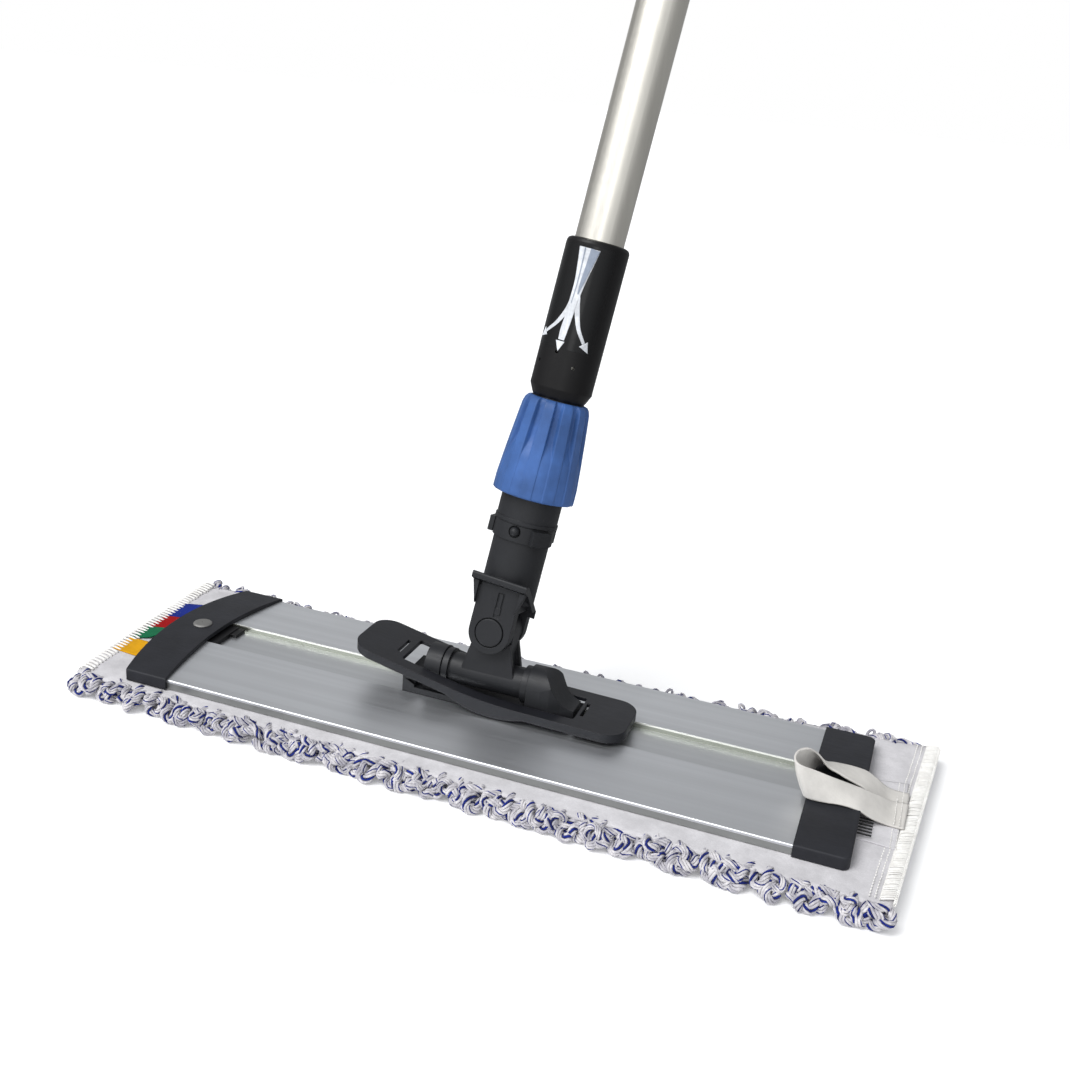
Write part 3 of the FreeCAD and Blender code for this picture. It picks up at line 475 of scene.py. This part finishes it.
def backing():
    u, v = np.meshgrid(np.linspace(0, 1, 170), np.linspace(0, 1, 56), indexing="ij")
    squeeze = 0.5 + (v - 0.5) * (1 - 0.016 * (np.abs(u - 0.5) * 2) ** 60)
    flat = cloth_point(u, squeeze)
    grid = np.concatenate([flat, (cloth_height(u, v) - FELT_THICK / 2)[..., None]], -1)
    verts, faces = closed_sheet(grid, FELT_THICK)
    return piece("felt_backing", verts, faces, "head", "white_cloth", ["mop_backing"])


felt = backing()

# ---------------------------------------------------------------- looped yarn pile
WHITE, BLUE = 0, 1
PLY_TURN = math.pi / 3
# Each ply: distance from the yarn's middle, radius, sides, kind, start angle, length of lay
YARN = [(1.45 + 0.12 * (k % 2), 0.80, 5, WHITE, k * PLY_TURN, 14.0) for k in range(1, 6)]
YARN += [(1.62, 0.66, 5, BLUE, 0.0, 14.0), (1.95, 0.34, 4, BLUE, 2.5 * PLY_TURN, 14.0)]
SOLE_YARN = [(0.95, 1.05, 4, WHITE, k * 2 * math.pi / 3, 13.0) for k in range(3)]
SOLE_YARN += [(1.70, 0.42, 3, BLUE, 1.0, 13.0)]
YARN_R = 2.2


def loop_line(start, out, reach, low, lean, eye, twist, angle):
    """One tuft: two legs twisted about each other that open into an eye at the tip."""
    along = np.cross(UP, out)
    neck = np.linspace(0, 0.72, 13)
    turn = np.linspace(0.18, math.pi / 2, 8)
    s = np.concatenate([neck, 0.72 + 0.28 * np.sin(turn)])
    rise = 1 / (1 + np.exp(-(neck - 0.5) * 18))
    spread = np.concatenate([1.9 + (eye - 1.9) * rise, eye * np.cos(turn)])
    spread[-1] = 0.0
    axis = (np.asarray(start) + out * (reach * np.sin(s * math.pi / 2))[:, None]
            + along * (lean * s)[:, None])
    axis[:, 2] += (low - start[2]) * s ** 1.4
    tangent = unit(np.gradient(axis, axis=0))
    side = unit(along - tangent * (tangent @ along)[:, None])
    over = np.cross(tangent, side)
    wound = angle + twist * (1 - np.minimum(s / 0.72, 1.0))
    offset = (np.cos(wound)[:, None] * side + np.sin(wound)[:, None] * over) * spread[:, None]
    there, back = axis + offset, axis - offset
    line = np.concatenate([there, back[-2::-1]])
    line[:, 2] = np.maximum(line[:, 2], YARN_R)
    return line


def tufts(strands, rng, a, b, out, spacing, inset, heights, reaches, lows, lean, size):
    """A row of tufts along an edge of the cloth from a to b."""
    a, b = np.asarray(a, dtype=float), np.asarray(b, dtype=float)
    count = int(np.linalg.norm(b - a) / spacing)
    for i in range(count):
        t = (i + 0.5 + rng.uniform(-0.22, 0.22)) / count
        foot = a + (b - a) * t - out[:2] * (inset + rng.uniform(-0.8, 0.8))
        start = np.array((foot[0], foot[1], rng.uniform(*heights)))
        line = loop_line(start, out, rng.uniform(*reaches), rng.uniform(*lows),
                         rng.choice((-1, 1)) * rng.uniform(*lean), rng.uniform(3.1, 4.3) * size,
                         rng.uniform(1.5, 4.5) * rng.choice((-1, 1)), rng.uniform(-0.7, 0.7))
        strands.twisted(line, 1.3, YARN, rng.uniform(0, 6.28), rng.uniform(0.9, 1.06) * size)


def edge_line(v, u0, u1, pieces_count):
    """Straight stretches that follow the cloth's long edge."""
    u = np.linspace(u0, u1, pieces_count + 1)
    p = cloth_point(u, np.full_like(u, v))
    return list(zip(p[:-1], p[1:]))


PILE_LOOKS = [LOOKS["mop_yarn"], BLUE_YARN]


def long_side(name, v, out, u0, u1, seed, low_reach, high_reach, stray, replaced=()):
    """Two tiers of tufts under one half of a long edge, and a few strays above it."""
    rng = np.random.default_rng(seed)
    strands = Strands()
    for a, b in edge_line(v, u0, u1, 3):
        tufts(strands, rng, a, b, out, 6.3, 5.0, (6.0, 7.4), low_reach, (2.4, 3.4), (4, 11), 1)
        tufts(strands, rng, a, b, out, 6.9, 3.4, (7.4, 8.4), high_reach, (5.8, 8.0), (5, 12),
              0.95)
        spacing, inset, rise, size = stray
        tufts(strands, rng, a, b, out, spacing, inset, (6.5, 7.5), (1.5, 3.5), rise, (3, 8), size)
    strands.build(name, "head", "mop_yarn", replaced, PILE_LOOKS)


# Reaches of the low and high tiers, then the strays' spacing, inset, heights and size
FRONT_REACH, FRONT_STRAY = ((8.5, 11.5), (5.5, 8.5)), (36.0, -1.5, (9.5, 12.0), 0.8)
REAR_REACH, REAR_STRAY = ((6.5, 8.5), (4.0, 6.0)), (11.0, -0.6, (10.2, 12.4), 0.36)
long_side("pile_front_left", 0.0, FRONT_OUT, 0.003, 0.5, 11, *FRONT_REACH, FRONT_STRAY,
          ["mop_pile"])
long_side("pile_front_right", 0.0, FRONT_OUT, 0.5, 0.985, 12, *FRONT_REACH, FRONT_STRAY)
long_side("pile_rear_left", 1.0, REAR_OUT, 0.01, 0.5, 13, *REAR_REACH, REAR_STRAY)
long_side("pile_rear_right", 1.0, REAR_OUT, 0.5, 0.98, 14, *REAR_REACH, REAR_STRAY)


def short_side(name, a, b, out, seed):
    """Two tiers of tufts under a short edge, mostly hidden by its hem."""
    rng = np.random.default_rng(seed)
    strands = Strands()
    tufts(strands, rng, a, b, out, 7.0, 11.5, (6.0, 6.8), (7.0, 9.0), (2.4, 3.0), (3, 9), 0.95)
    tufts(strands, rng, a, b, out, 8.0, 11.0, (6.2, 6.8), (5.5, 8.0), (4.8, 5.8), (3, 9), 0.85)
    strands.build(name, "head", "mop_yarn", (), PILE_LOOKS)


short_side("pile_left_end", FRONT_LEFT + (0, 6), REAR_LEFT - (0, 6), LEFT_OUT, 15)
short_side("pile_right_end", FRONT_RIGHT + (0, 6), REAR_RIGHT - (0, 6), RIGHT_OUT, 16)


ROW_LENGTH = 455.0


def sole(name, v0, v1, rows, seed):
    """The underside: rows of yarn that wind to and fro over the floor."""
    rng = np.random.default_rng(seed)
    strands = Strands()
    for v in np.linspace(v0, v1, rows):
        t = np.arange(0.0, 1.0, 1.6 / ROW_LENGTH)
        wander = t * ROW_LENGTH / 9.0 * 2 * math.pi + rng.uniform(0, 6.28)
        flat = cloth_point(0.022 + 0.956 * t, np.full_like(t, v))
        x = flat[:, 0] + 1.6 * np.sin(2 * wander)
        y = flat[:, 1] + 2.9 * np.sin(wander) + 0.5 * np.sin(wander * 0.37)
        z = 3.0 + 0.9 * np.cos(wander * 0.5 + v * 40)
        strands.twisted(np.stack([x, y, z], 1), 1.9, SOLE_YARN, rng.uniform(0, 6.28))
    strands.build(name, "head", "mop_yarn", (), PILE_LOOKS)


sole("pile_sole_front", 0.075, 0.49, 12, 17)
sole("pile_sole_rear", 0.525, 0.94, 12, 18)


# ---------------------------------------------------------------- overlocked hems
def hem_frame(a, b, out):
    """Points along a hem: along it by t, and inward from its edge by d, at height z."""
    a, b = np.asarray(a, dtype=float), np.asarray(b, dtype=float)

    def at(t, d, z):
        t, d = np.asarray(t, dtype=float), np.asarray(d, dtype=float)
        edge = a + (b - a) * t[..., None] - out[:2] * d[..., None]
        return np.concatenate([edge, np.broadcast_to(z, t.shape)[..., None]], -1)
    return at, np.linalg.norm(b - a)


def overlock(strands, at, length, width, pitch, radius, slant, seed, jitter, line=True):
    """Slanted threads that wrap the edge, locked by a chain at it and often a line inside it."""
    rng = np.random.default_rng(seed)
    count = int(length / pitch)
    top = CLOTH_TOP + 0.1 + radius
    for i in range(count):
        t0 = (i + 0.5) * pitch + rng.uniform(-jitter, jitter)
        deep = width + rng.uniform(-0.5, 0.5)
        t = np.array([0.0, 0.25, 0.5, 0.75, 1.0, 1.02, 0.95, 0.75]) * slant + t0
        d = np.array([deep, deep * 0.72, deep * 0.45, deep * 0.2, 0.2, -0.7, -0.2, 2.2])
        z = np.array([top - 0.5, top - 0.1, top, top - 0.05, top - 0.3, CLOTH_TOP - 0.8,
                      CLOTH_TOP - FELT_THICK - radius, CLOTH_TOP - FELT_THICK - radius])
        wrap = smooth_line(at(np.clip(t / length, 0, 1), d, z), 13)
        strands.thread(wrap, radius * rng.uniform(0.88, 1.12), 7)
    steps = np.arange(0, length, pitch / 8)
    for d0, swing, lag in ((-0.6, 0.55, 0.0), (-0.6, -0.55, 1.2)):
        wave = steps / pitch * 2 * math.pi + lag
        d = d0 + swing * np.sin(wave)
        z = CLOTH_TOP - FELT_THICK / 2 + 0.9 * np.cos(wave)
        strands.thread(at(steps / length, d, z), radius * 0.62, 5)
    if line:
        wave = steps / pitch * 2 * math.pi
        strands.thread(at(steps / length, width + 0.3 * np.sin(wave), top - 0.3), radius * 0.6, 5)


def running_stitch(strands, at, length, d, radius, stitch, gap, seed):
    """A row of short stitches that stand up a little from the felt."""
    rng = np.random.default_rng(seed)
    t = stitch
    while t < length - stitch:
        s = np.linspace(t, t + stitch, 6)
        z = CLOTH_TOP + 0.25 + 0.42 * np.sin(np.linspace(0, math.pi, 6)) - 0.25
        strands.thread(at(s / length, np.full(6, d + rng.uniform(-0.15, 0.15)), z), radius, 5)
        t += stitch + gap


def side_hem(u, out):
    """The hem's places and length along one short side, just clear of the rounded corners."""
    front, rear = cloth_point(np.full(2, u), np.array((0.02, 0.98)))
    return hem_frame(front, rear, out)


def left_hem():
    """Coarse fingers of thread, well apart."""
    at, length = side_hem(0.0, LEFT_OUT)
    strands = Strands()
    overlock(strands, at, length, width=7.6, pitch=3.0, radius=0.70, slant=1.4, seed=21,
             jitter=0.3, line=False)
    return strands.build("overlock_left", "head", "hem_thread", ["hem_left"])


def right_hem():
    """Close threads, with two rows of stitches inside them."""
    at, length = side_hem(1.0, RIGHT_OUT)
    strands = Strands()
    overlock(strands, at, length, width=6.0, pitch=1.6, radius=0.54, slant=2.6, seed=22,
             jitter=0.22)
    for depth in (8.4, 11.0):
        running_stitch(strands, at, length, depth, radius=0.36, stitch=1.1, gap=1.3, seed=24)
    return strands.build("overlock_right", "head", "hem_thread", ["hem_right"])


hem_left, hem_right = left_hem(), right_hem()


# ---------------------------------------------------------------- coloured tabs
def strip_grid(front, rear, count_u, count_v, bulge=0.0):
    """A grid between a front and a rear line of points, bulging upward at the far end."""
    low, high = smooth_line(front, count_u), smooth_line(rear, count_u)
    v = np.linspace(0, 1, count_v)[None, :, None]
    grid = low[:, None] * (1 - v) + high[:, None] * v
    u = np.linspace(0, 1, count_u)[:, None]
    arch = np.sin(np.linspace(0, math.pi, count_v))[None, :]
    grid[..., 2] += bulge * arch * u
    return grid


def raised(points, base):
    return [(x, y, base + z) for x, y, z in points]


TAB_Z = CLOTH_TOP + 0.45
TAB_THICK = 0.55
# Each tab's front edge and rear edge as (x, y, height over the felt), hem end first, and how
# much its middle bulges
TABS = {
    "blue": ([(-228, 17.4, 0), (-213, 20.3, 0.2), (-204, 21.6, 0.9), (-192, 22.4, 0.2)],
             [(-228, 37.6, 0), (-213, 40.8, 0.6), (-204, 41.6, 0.5), (-192, 42.0, 0.1)], 0.7),
    "red": ([(-228, -0.4, 0), (-213, 2.4, 0.2), (-204, 3.6, 0.5), (-192, 4.0, 0.2)],
            [(-228, 16.9, 0), (-213, 19.7, 0.2), (-204, 21.0, 0.3), (-192, 21.8, 0.1)], 0.5),
    "green": ([(-228, -17.4, 0), (-219, -13.5, 0.3), (-212, -8.5, 2.6), (-204, -8.8, 3.0),
               (-192, -10.5, 0.6)],
              [(-228, -0.8, 0), (-219, 1.0, 0.5), (-212, 1.9, 0.8), (-204, 3.0, 0.5),
               (-192, 3.6, 0.2)], 1.6),
    "yellow": ([(-228, -34.4, 0), (-213, -36.1, 0.1), (-204, -36.6, 0.3), (-192, -36.4, 0.1)],
               [(-228, -17.9, 0), (-213, -18.9, 0.5), (-204, -19.2, 0.9), (-192, -19.0, 0.2)],
               0.6),
}
for colour, (front, rear, bulge) in TABS.items():
    grid = strip_grid(raised(front, TAB_Z), raised(rear, TAB_Z), 34, 18, bulge)
    verts, faces = closed_sheet(grid, TAB_THICK)
    tab = piece(f"tab_{colour}_tape", verts, faces, "head", f"{colour}_cloth",
                [f"tab_{colour}"])

# ---------------------------------------------------------------- white band and elastic loop
def anchor_band():
    """The white band between the right comb and the hem."""
    front = [(192, -30.8, 0.1), (201, -32.5, 0.15), (210, -33.2, 0.3), (219, -34.0, 0.1)]
    rear = [(192, 29.4, 0.1), (201, 27.4, 0.3), (210, 28.6, 0.5), (221, 31.8, 0.1)]
    base = CLOTH_TOP + 0.3
    rows, under_comb = 30, 0.25
    grid = strip_grid(raised(front, base), raised(rear, base), rows, 60)
    grid[..., 2] -= under_comb * np.linspace(1, 0, rows)[:, None]
    verts, faces = closed_sheet(grid, 0.45)
    return piece("white_band", verts, faces, "head", "white_cloth", ["loop_anchor_band"])


band = anchor_band()

# Outer and inner edge of the elastic as two lines of points. Both legs lie flat at the hem;
# each turns on edge towards the fold, where the inner edges come uppermost. Heights are
# measured from the profile's edge.
ELASTIC = [
    ((221.5, -15.5, -4.2), (222, 7.5, -3.3)),
    ((213.5, -15.9, -3.8), (214.5, 5.6, -2.6)),
    ((205, -19.6, -0.2), (207.5, -1.5, 2.8)),
    ((198.6, -22.3, 3.9), (199.3, -7.9, 8)),
    ((191, -24, 5.6), (192.2, -12.9, 12)),
    ((184, -25, 5.6), (183.3, -19.2, 17)),
    ((178, -25.2, 5.4), (174.9, -22.6, 20.5)),
    ((174, -24.6, 5.3), (168.4, -25.4, 23)),
    ((172, -23, 5.3), (165.2, -24.2, 24)),
    ((171.2, -20, 5.3), (164.2, -19.6, 24.6)),
    ((171.2, -14.5, 5.4), (165.6, -14, 25)),
    ((171.8, -4, 5.4), (169.5, -10.4, 24.8)),
    ((173.5, 6.0, 5.4), (173.2, -6.6, 21.4)),
    ((175.5, 11.2, 5.4), (176.1, -5.0, 18.2)),
    ((177.6, 13.8, 5.3), (178.2, -4.4, 15.4)),
    ((180.8, 16.2, 5.2), (181.1, -3.6, 12.6)),
    ((185.6, 17.0, 5.2), (185.3, -3.1, 10.9)),
    ((190.7, 17.2, 5.2), (189.8, -3.3, 9.2)),
    ((195.0, 16.8, 5.2), (195.1, -3.4, 7.5)),
    ((199.6, 15.6, 5.0), (199.8, -3.2, 5.4)),
    ((204.6, 14.8, 2.8), (205.2, -3.0, 0.6)),
    ((211.5, 18.0, -2.8), (212, -3.2, -4.2)),
    ((222, 20, -4.5), (221.5, -3.2, -4.5)),
]
ELASTIC_STEPS, ELASTIC_ACROSS = 150, 21
ELASTIC_THICK = 0.95
ELASTIC_CUP = 0.9            # its middle bends in this much between its two edges


def pull_loop():
    """The elastic, ruled between its two edges and slightly cupped."""
    outer = smooth_line([(x, y, z + EDGE_Z) for (x, y, z), _ in ELASTIC], ELASTIC_STEPS)
    inner = smooth_line([(x, y, z + EDGE_Z) for _, (x, y, z) in ELASTIC], ELASTIC_STEPS)
    v = np.linspace(0, 1, ELASTIC_ACROSS)[None, :, None]
    grid = outer[:, None] * (1 - v) + inner[:, None] * v
    facing = unit(np.cross(np.gradient(grid, axis=0), np.gradient(grid, axis=1)))
    across = np.sin(np.linspace(0, math.pi, ELASTIC_ACROSS))[None, :, None]
    along = np.sin(np.linspace(0, math.pi, ELASTIC_STEPS))[:, None, None]
    verts, faces = closed_sheet(grid - facing * across * ELASTIC_CUP * along, ELASTIC_THICK)
    return piece("elastic_loop", verts, faces, "head", "white_elastic", ["pull_loop"])


elastic = pull_loop()


def band_stitches():
    """Two rows of stitches that hold the band and the elastic down at the hem."""
    strands = Strands()
    rng = np.random.default_rng(31)
    length, pitch, arch = 1.7, 2.6, 0.28
    for x, y, last in ((216.2, -34.0, 30.5), (218.9, -34.0, 31.0)):
        while y < last:
            over_both_legs, over_elastic = -16.0 < y < 8.0, -16.0 < y < 19.0
            z = CLOTH_TOP + (2.9 if over_both_legs else 1.65 if over_elastic else 0.75)
            s = np.linspace(0, 1, 6)
            line = np.stack([np.full(6, x + rng.uniform(-0.15, 0.15)), y + length * s,
                             z + arch * np.sin(s * math.pi)], 1)
            strands.thread(line, 0.26, 5)
            y += pitch
    strands.build("band_stitches", "head", "hem_thread")


band_stitches()


def comb():
    """The right clamp's comb: a bar inside the cap and blunt teeth that reach over the band."""
    strands = Strands()
    height = EDGE_Z - 3.25
    strands.thread(np.array([(197.0, y, height) for y in np.linspace(-31.0, 31.0, 12)]), 0.62, 8)
    for y in np.arange(-30.4, -15.5, 2.9):
        reach = np.array([187.4, 190, 194, 198, 202, 206.2, 206.9])
        line = np.stack([reach, np.full(7, y), np.full(7, height)], 1)
        strands.thread(line, 0.44, 8)
    strands.build("clamp_comb_teeth", "head", "black_plastic", ["right_clamp_comb"])


comb()

# ---------------------------------------------------------------- ribbed clamp collar
COLLAR_FOOT, COLLAR_RIBS = 75.9, 11
FIRST_RIB = 0.10 - math.pi / 2       # where the first rib stands round the pole
# The collar's outside and inside as (radius, height), rim to top and back
OUTER = [(21.7, 0.0), (22.2, 0.5), (22.3, 1.2), (22.2, 8.0), (21.0, 22.0), (19.6, 36.0),
         (18.7, 44.5), (18.2, 48.5), (17.4, 50.9), (16.4, 52.2), (15.3, 52.7)]
INNER = [(14.2, 52.7), (14.2, 49.2), (15.8, 43.7), (15.8, 6.0), (17.5, 4.5), (17.5, 0.0)]


def smoothstep(a, b, x):
    t = np.clip((x - a) / (b - a), 0, 1)
    return t * t * (3 - 2 * t)


def ribbed_collar():
    """Flat-topped ribs; between them shallow panels that scoop in deeply towards the rim."""
    r, z = np.array(OUTER).T
    along = np.concatenate([[0, 0.5, 1.2], np.linspace(3, 48.5, 34), [50.9, 52.2, 52.7]])
    radius = np.interp(along, z, r)
    near = np.array([0, 0.12, 0.24, 0.262, 0.275, 0.29, 0.31, 0.33, 0.36, 0.42, 0.5])
    phase = np.concatenate([near, 1 - near[-2:0:-1]])
    theta = (np.arange(COLLAR_RIBS)[:, None] + phase[None]).ravel() * 2 * math.pi / COLLAR_RIBS
    across = np.abs(np.tile(phase, COLLAR_RIBS) - 0.5)
    scoop = smoothstep(20.0, 33.0, along) * (1 - 0.55 * smoothstep(48.0, 52.7, along))
    depth = 0.40 + 2.5 * scoop
    wall = 0.026 + 0.085 * scoop
    panel = 1 - smoothstep(0, 1, (across[None] - (0.245 - wall[:, None])) / wall[:, None])
    crown = 0.25 * np.cos(np.clip((0.5 - across) / 0.25, 0, 1) * math.pi / 2)
    outer = radius[:, None] - depth[:, None] * panel - crown[None] * (1 - panel)
    ir, iz = np.array(INNER).T
    rings = np.concatenate([outer, np.broadcast_to(ir[:, None], (len(ir), len(theta)))])
    heights = np.concatenate([along, iz])[:, None] + COLLAR_FOOT
    turn = theta + FIRST_RIB
    grid = np.stack([rings * np.cos(turn), rings * np.sin(turn),
                     np.broadcast_to(heights, rings.shape)], -1)
    piece("ribbed_collar", on_pole(grid.reshape(-1, 3)), ring_faces(*rings.shape), "collar",
          "blue_plastic", ["clamp_collar"])


ribbed_collar()


def sleeve_neck():
    """The sleeve's spigot, which enters the collar round the tube."""
    profile = [(13.03, 124.3), (13.55, 124.3), (13.8, 124.8), (13.8, 128.8), (13.6, 129.4),
               (13.03, 129.4)]
    r, z = np.array(profile).T[..., None]
    turn = np.linspace(0, 2 * math.pi, 96, endpoint=False)
    grid = np.stack([r * np.cos(turn), r * np.sin(turn), z + 0 * turn], -1)
    piece("sleeve_neck", on_pole(grid.reshape(-1, 3)), ring_faces(*grid.shape[:2]), "handle",
          "black_sleeve", smooth=False)


sleeve_neck()

# ---------------------------------------------------------------- flow arrow on the label
def on_label(u, z, lift):
    """A place on the sleeve: u mm round it from its front, z mm up the pole."""
    r = SLEEVE_R + lift
    angle = np.asarray(u) / SLEEVE_R
    return np.stack([r * np.sin(angle), -r * np.cos(angle), np.asarray(z) + 0 * angle], -1)


INK = 0.05                   # thickness of the print


def printed_band(line, widths, lift):
    """A printed stripe along a line of (u, z), with half widths."""
    whole = smooth_line(np.column_stack([line, widths]), 40)
    way = unit(np.gradient(whole[:, :2], axis=0))
    side = np.column_stack([way[:, 1], -way[:, 0]])
    v = np.linspace(-1, 1, 9)[None, :, None]
    flat = whole[:, None, :2] + side[:, None] * whole[:, None, 2:3] * v
    return closed_sheet(on_label(flat[..., 0], flat[..., 1], lift), INK)


def printed_head(tip, way):
    """A printed arrow head that ends at its tip, pointing that way."""
    length, half_width = 5.4, 2.5
    tip, way = np.array(tip), np.array(way)
    side = np.array((way[1], -way[0]))
    s = np.linspace(0.02, 1, 12)[:, None, None]
    v = np.linspace(-1, 1, 7)[None, :, None]
    flat = tip - way * s * length + side * v * s * half_width
    return closed_sheet(on_label(flat[..., 0], flat[..., 1], 0.42), INK)


STEM = [(1.0, 207.5), (0.8, 199.0), (0.3, 189.0), (-0.6, 178.0)]
LEFT_BRANCH = [(-0.6, 183.0), (-2.6, 175.0), (-7.0, 167.5), (-13.0, 162.4)]
MIDDLE_BRANCH = [(0.0, 183.0), (-0.6, 174.0), (-1.4, 165.0), (-1.6, 159.8)]
RIGHT_BRANCH = [(1.0, 183.0), (3.0, 175.0), (5.8, 167.0), (10.2, 160.4)]
FLANK = [(4.1, 207.3), (3.0, 199.5), (1.6, 190.0), (0.9, 184.0)]
STREAK = [(-1.2, 207.4), (-0.9, 199.0), (-0.8, 189.0), (-1.2, 179.0)]


def arrow():
    """A stem that parts into three branches, with a shaded flank and streak over it."""
    parts = [
        printed_band(STEM, [5.6, 4.2, 2.8, 2.2], 0.24),
        printed_band(LEFT_BRANCH, [1.5, 1.3, 1.0, 0.8], 0.30),
        printed_band(MIDDLE_BRANCH, [2.0, 2.0, 2.0, 1.6], 0.36),
        printed_band(RIGHT_BRANCH, [1.5, 1.3, 1.0, 0.8], 0.30),
        printed_head((-17.2, 159.2), (-0.78, -0.62)),
        printed_head((-1.9, 153.8), (0.0, -1.0)),
        printed_head((13.6, 156.2), (0.64, -0.77)),
    ]
    plain = len(parts)
    parts.append(printed_band(FLANK, [2.4, 1.7, 1.0, 0.3], 0.48))
    parts.append(printed_band(STREAK, [0.30, 0.25, 0.2, 0.15], 0.48))
    verts, faces, kinds, base = [], [], [], 0
    for i, (v, f) in enumerate(parts):
        verts.append(on_pole(v))
        faces += [[k + base for k in face] for face in f]
        kinds += [int(i >= plain)] * len(f)
        base += len(v)
    piece("flow_arrow", np.concatenate(verts), faces, "handle", "label_film", kinds=kinds,
          materials=[ARROW_PRINT, ARROW_SHADE])


arrow()

# ---------------------------------------------------------------- floor, light and camera
FLOOR_HALF, FLOOR_DROP = 12.0, 0.0002        # metres


def paper():
    """Plain white paper that glows a little, so that it stays white in shade."""
    material = bpy.data.materials.new("paper")
    material.use_nodes = True
    sockets = material.node_tree.nodes["Principled BSDF"].inputs
    sockets["Base Color"].default_value = (0.93, 0.93, 0.93, 1)
    sockets["Roughness"].default_value = 0.95
    sockets["Specular IOR Level"].default_value = 0.0
    sockets["Emission Color"].default_value = (1, 1, 1, 1)
    sockets["Emission Strength"].default_value = 0.16
    return material


floor_mesh = bpy.data.meshes.new("floor")
corners = [(-1, -1), (1, -1), (1, 1), (-1, 1)]
floor_mesh.from_pydata([(x * FLOOR_HALF, y * FLOOR_HALF, -FLOOR_DROP) for x, y in corners],
                       [], [(0, 1, 2, 3)])
floor_mesh.materials.append(paper())
floor = bpy.data.objects.new("floor", floor_mesh)
floor.visible_glossy = False         # the metal would mirror it as a white glare
bpy.context.scene.collection.objects.link(floor)


def lamp(name, place, aim, size, power, tall=None):
    """A rectangular area lamp, in metres and watts."""
    light = bpy.data.lights.new(name, "AREA")
    light.shape = "RECTANGLE"
    light.size, light.size_y = size, tall or size
    light.energy = power
    obj = bpy.data.objects.new(name, light)
    obj.location = place
    obj.rotation_euler = (Vector(aim) - Vector(place)).to_track_quat("-Z", "Y").to_euler()
    bpy.context.scene.collection.objects.link(obj)


sun_data = bpy.data.lights.new("daylight", "SUN")
sun_data.energy = 2.45
sun_data.angle = math.radians(38)
sun = bpy.data.objects.new("daylight", sun_data)
sun.rotation_euler = Vector((0.42, 0.55, -0.85)).to_track_quat("-Z", "Y").to_euler()
bpy.context.scene.collection.objects.link(sun)
lamp("strip", (0.45, -2.0, 1.5), (0, 0.05, 0.4), 0.8, 6.5, tall=2.4)
lamp("rear_fill", (-0.55, 1.7, 0.9), (0, 0, 0), 1.6, 1.9)

# The camera sees plain white behind the floor; the object is lit by a studio that is bright
# in front and above, and dimmer behind.
world = bpy.data.worlds.new("studio")
bpy.context.scene.world = world
world.use_nodes = True
tree = world.node_tree
room = tree.nodes["Background"]
room.inputs["Color"].default_value = (0.95, 0.97, 1.0, 1)
way = tree.nodes.new("ShaderNodeTexCoord")
facing = tree.nodes.new("ShaderNodeVectorMath")
facing.operation = "DOT_PRODUCT"
facing.inputs[1].default_value = Vector((-0.08, -0.95, 0.30)).normalized()
level = tree.nodes.new("ShaderNodeMapRange")
level.interpolation_type = "SMOOTHSTEP"
for key, value in (("From Min", -0.10), ("From Max", 0.98), ("To Min", 0.32),
                   ("To Max", 0.92)):
    level.inputs[key].default_value = value
tree.links.new(way.outputs["Generated"], facing.inputs[0])
tree.links.new(facing.outputs["Value"], level.inputs["Value"])
tree.links.new(level.outputs["Result"], room.inputs["Strength"])
seen = tree.nodes.new("ShaderNodeBackground")
seen.inputs["Color"].default_value = (1, 1, 1, 1)
path = tree.nodes.new("ShaderNodeLightPath")
both = tree.nodes.new("ShaderNodeMixShader")
tree.links.new(path.outputs["Is Camera Ray"], both.inputs[0])
tree.links.new(room.outputs[0], both.inputs[1])
tree.links.new(seen.outputs[0], both.inputs[2])
tree.links.new(both.outputs[0], tree.nodes["World Output"].inputs["Surface"])

bpy.context.scene.view_settings.view_transform = "Standard"
bpy.context.scene.view_settings.look = "None"

# The photograph's viewpoint: the camera's axes and place, in metres
RIGHT = Vector((0.93791227, 0.33755884, 0.07984116))
DOWN = Vector((0.19081206, -0.30986599, -0.93143643))
AHEAD = Vector((-0.28967454, 0.88884031, -0.35503741))
CAMERA_PLACE = (0.19995, -0.57342, 0.34974)
camera_data = bpy.data.cameras.new("camera")
camera_data.lens = 41.64
camera_data.sensor_width = 36.0
camera_data.clip_start = 0.02
camera = bpy.data.objects.new("camera", camera_data)
turn = Matrix((RIGHT, -DOWN, -AHEAD)).transposed()
camera.matrix_world = Matrix.Translation(CAMERA_PLACE) @ turn.to_4x4()
bpy.context.scene.collection.objects.link(camera)
bpy.context.scene.camera = camera
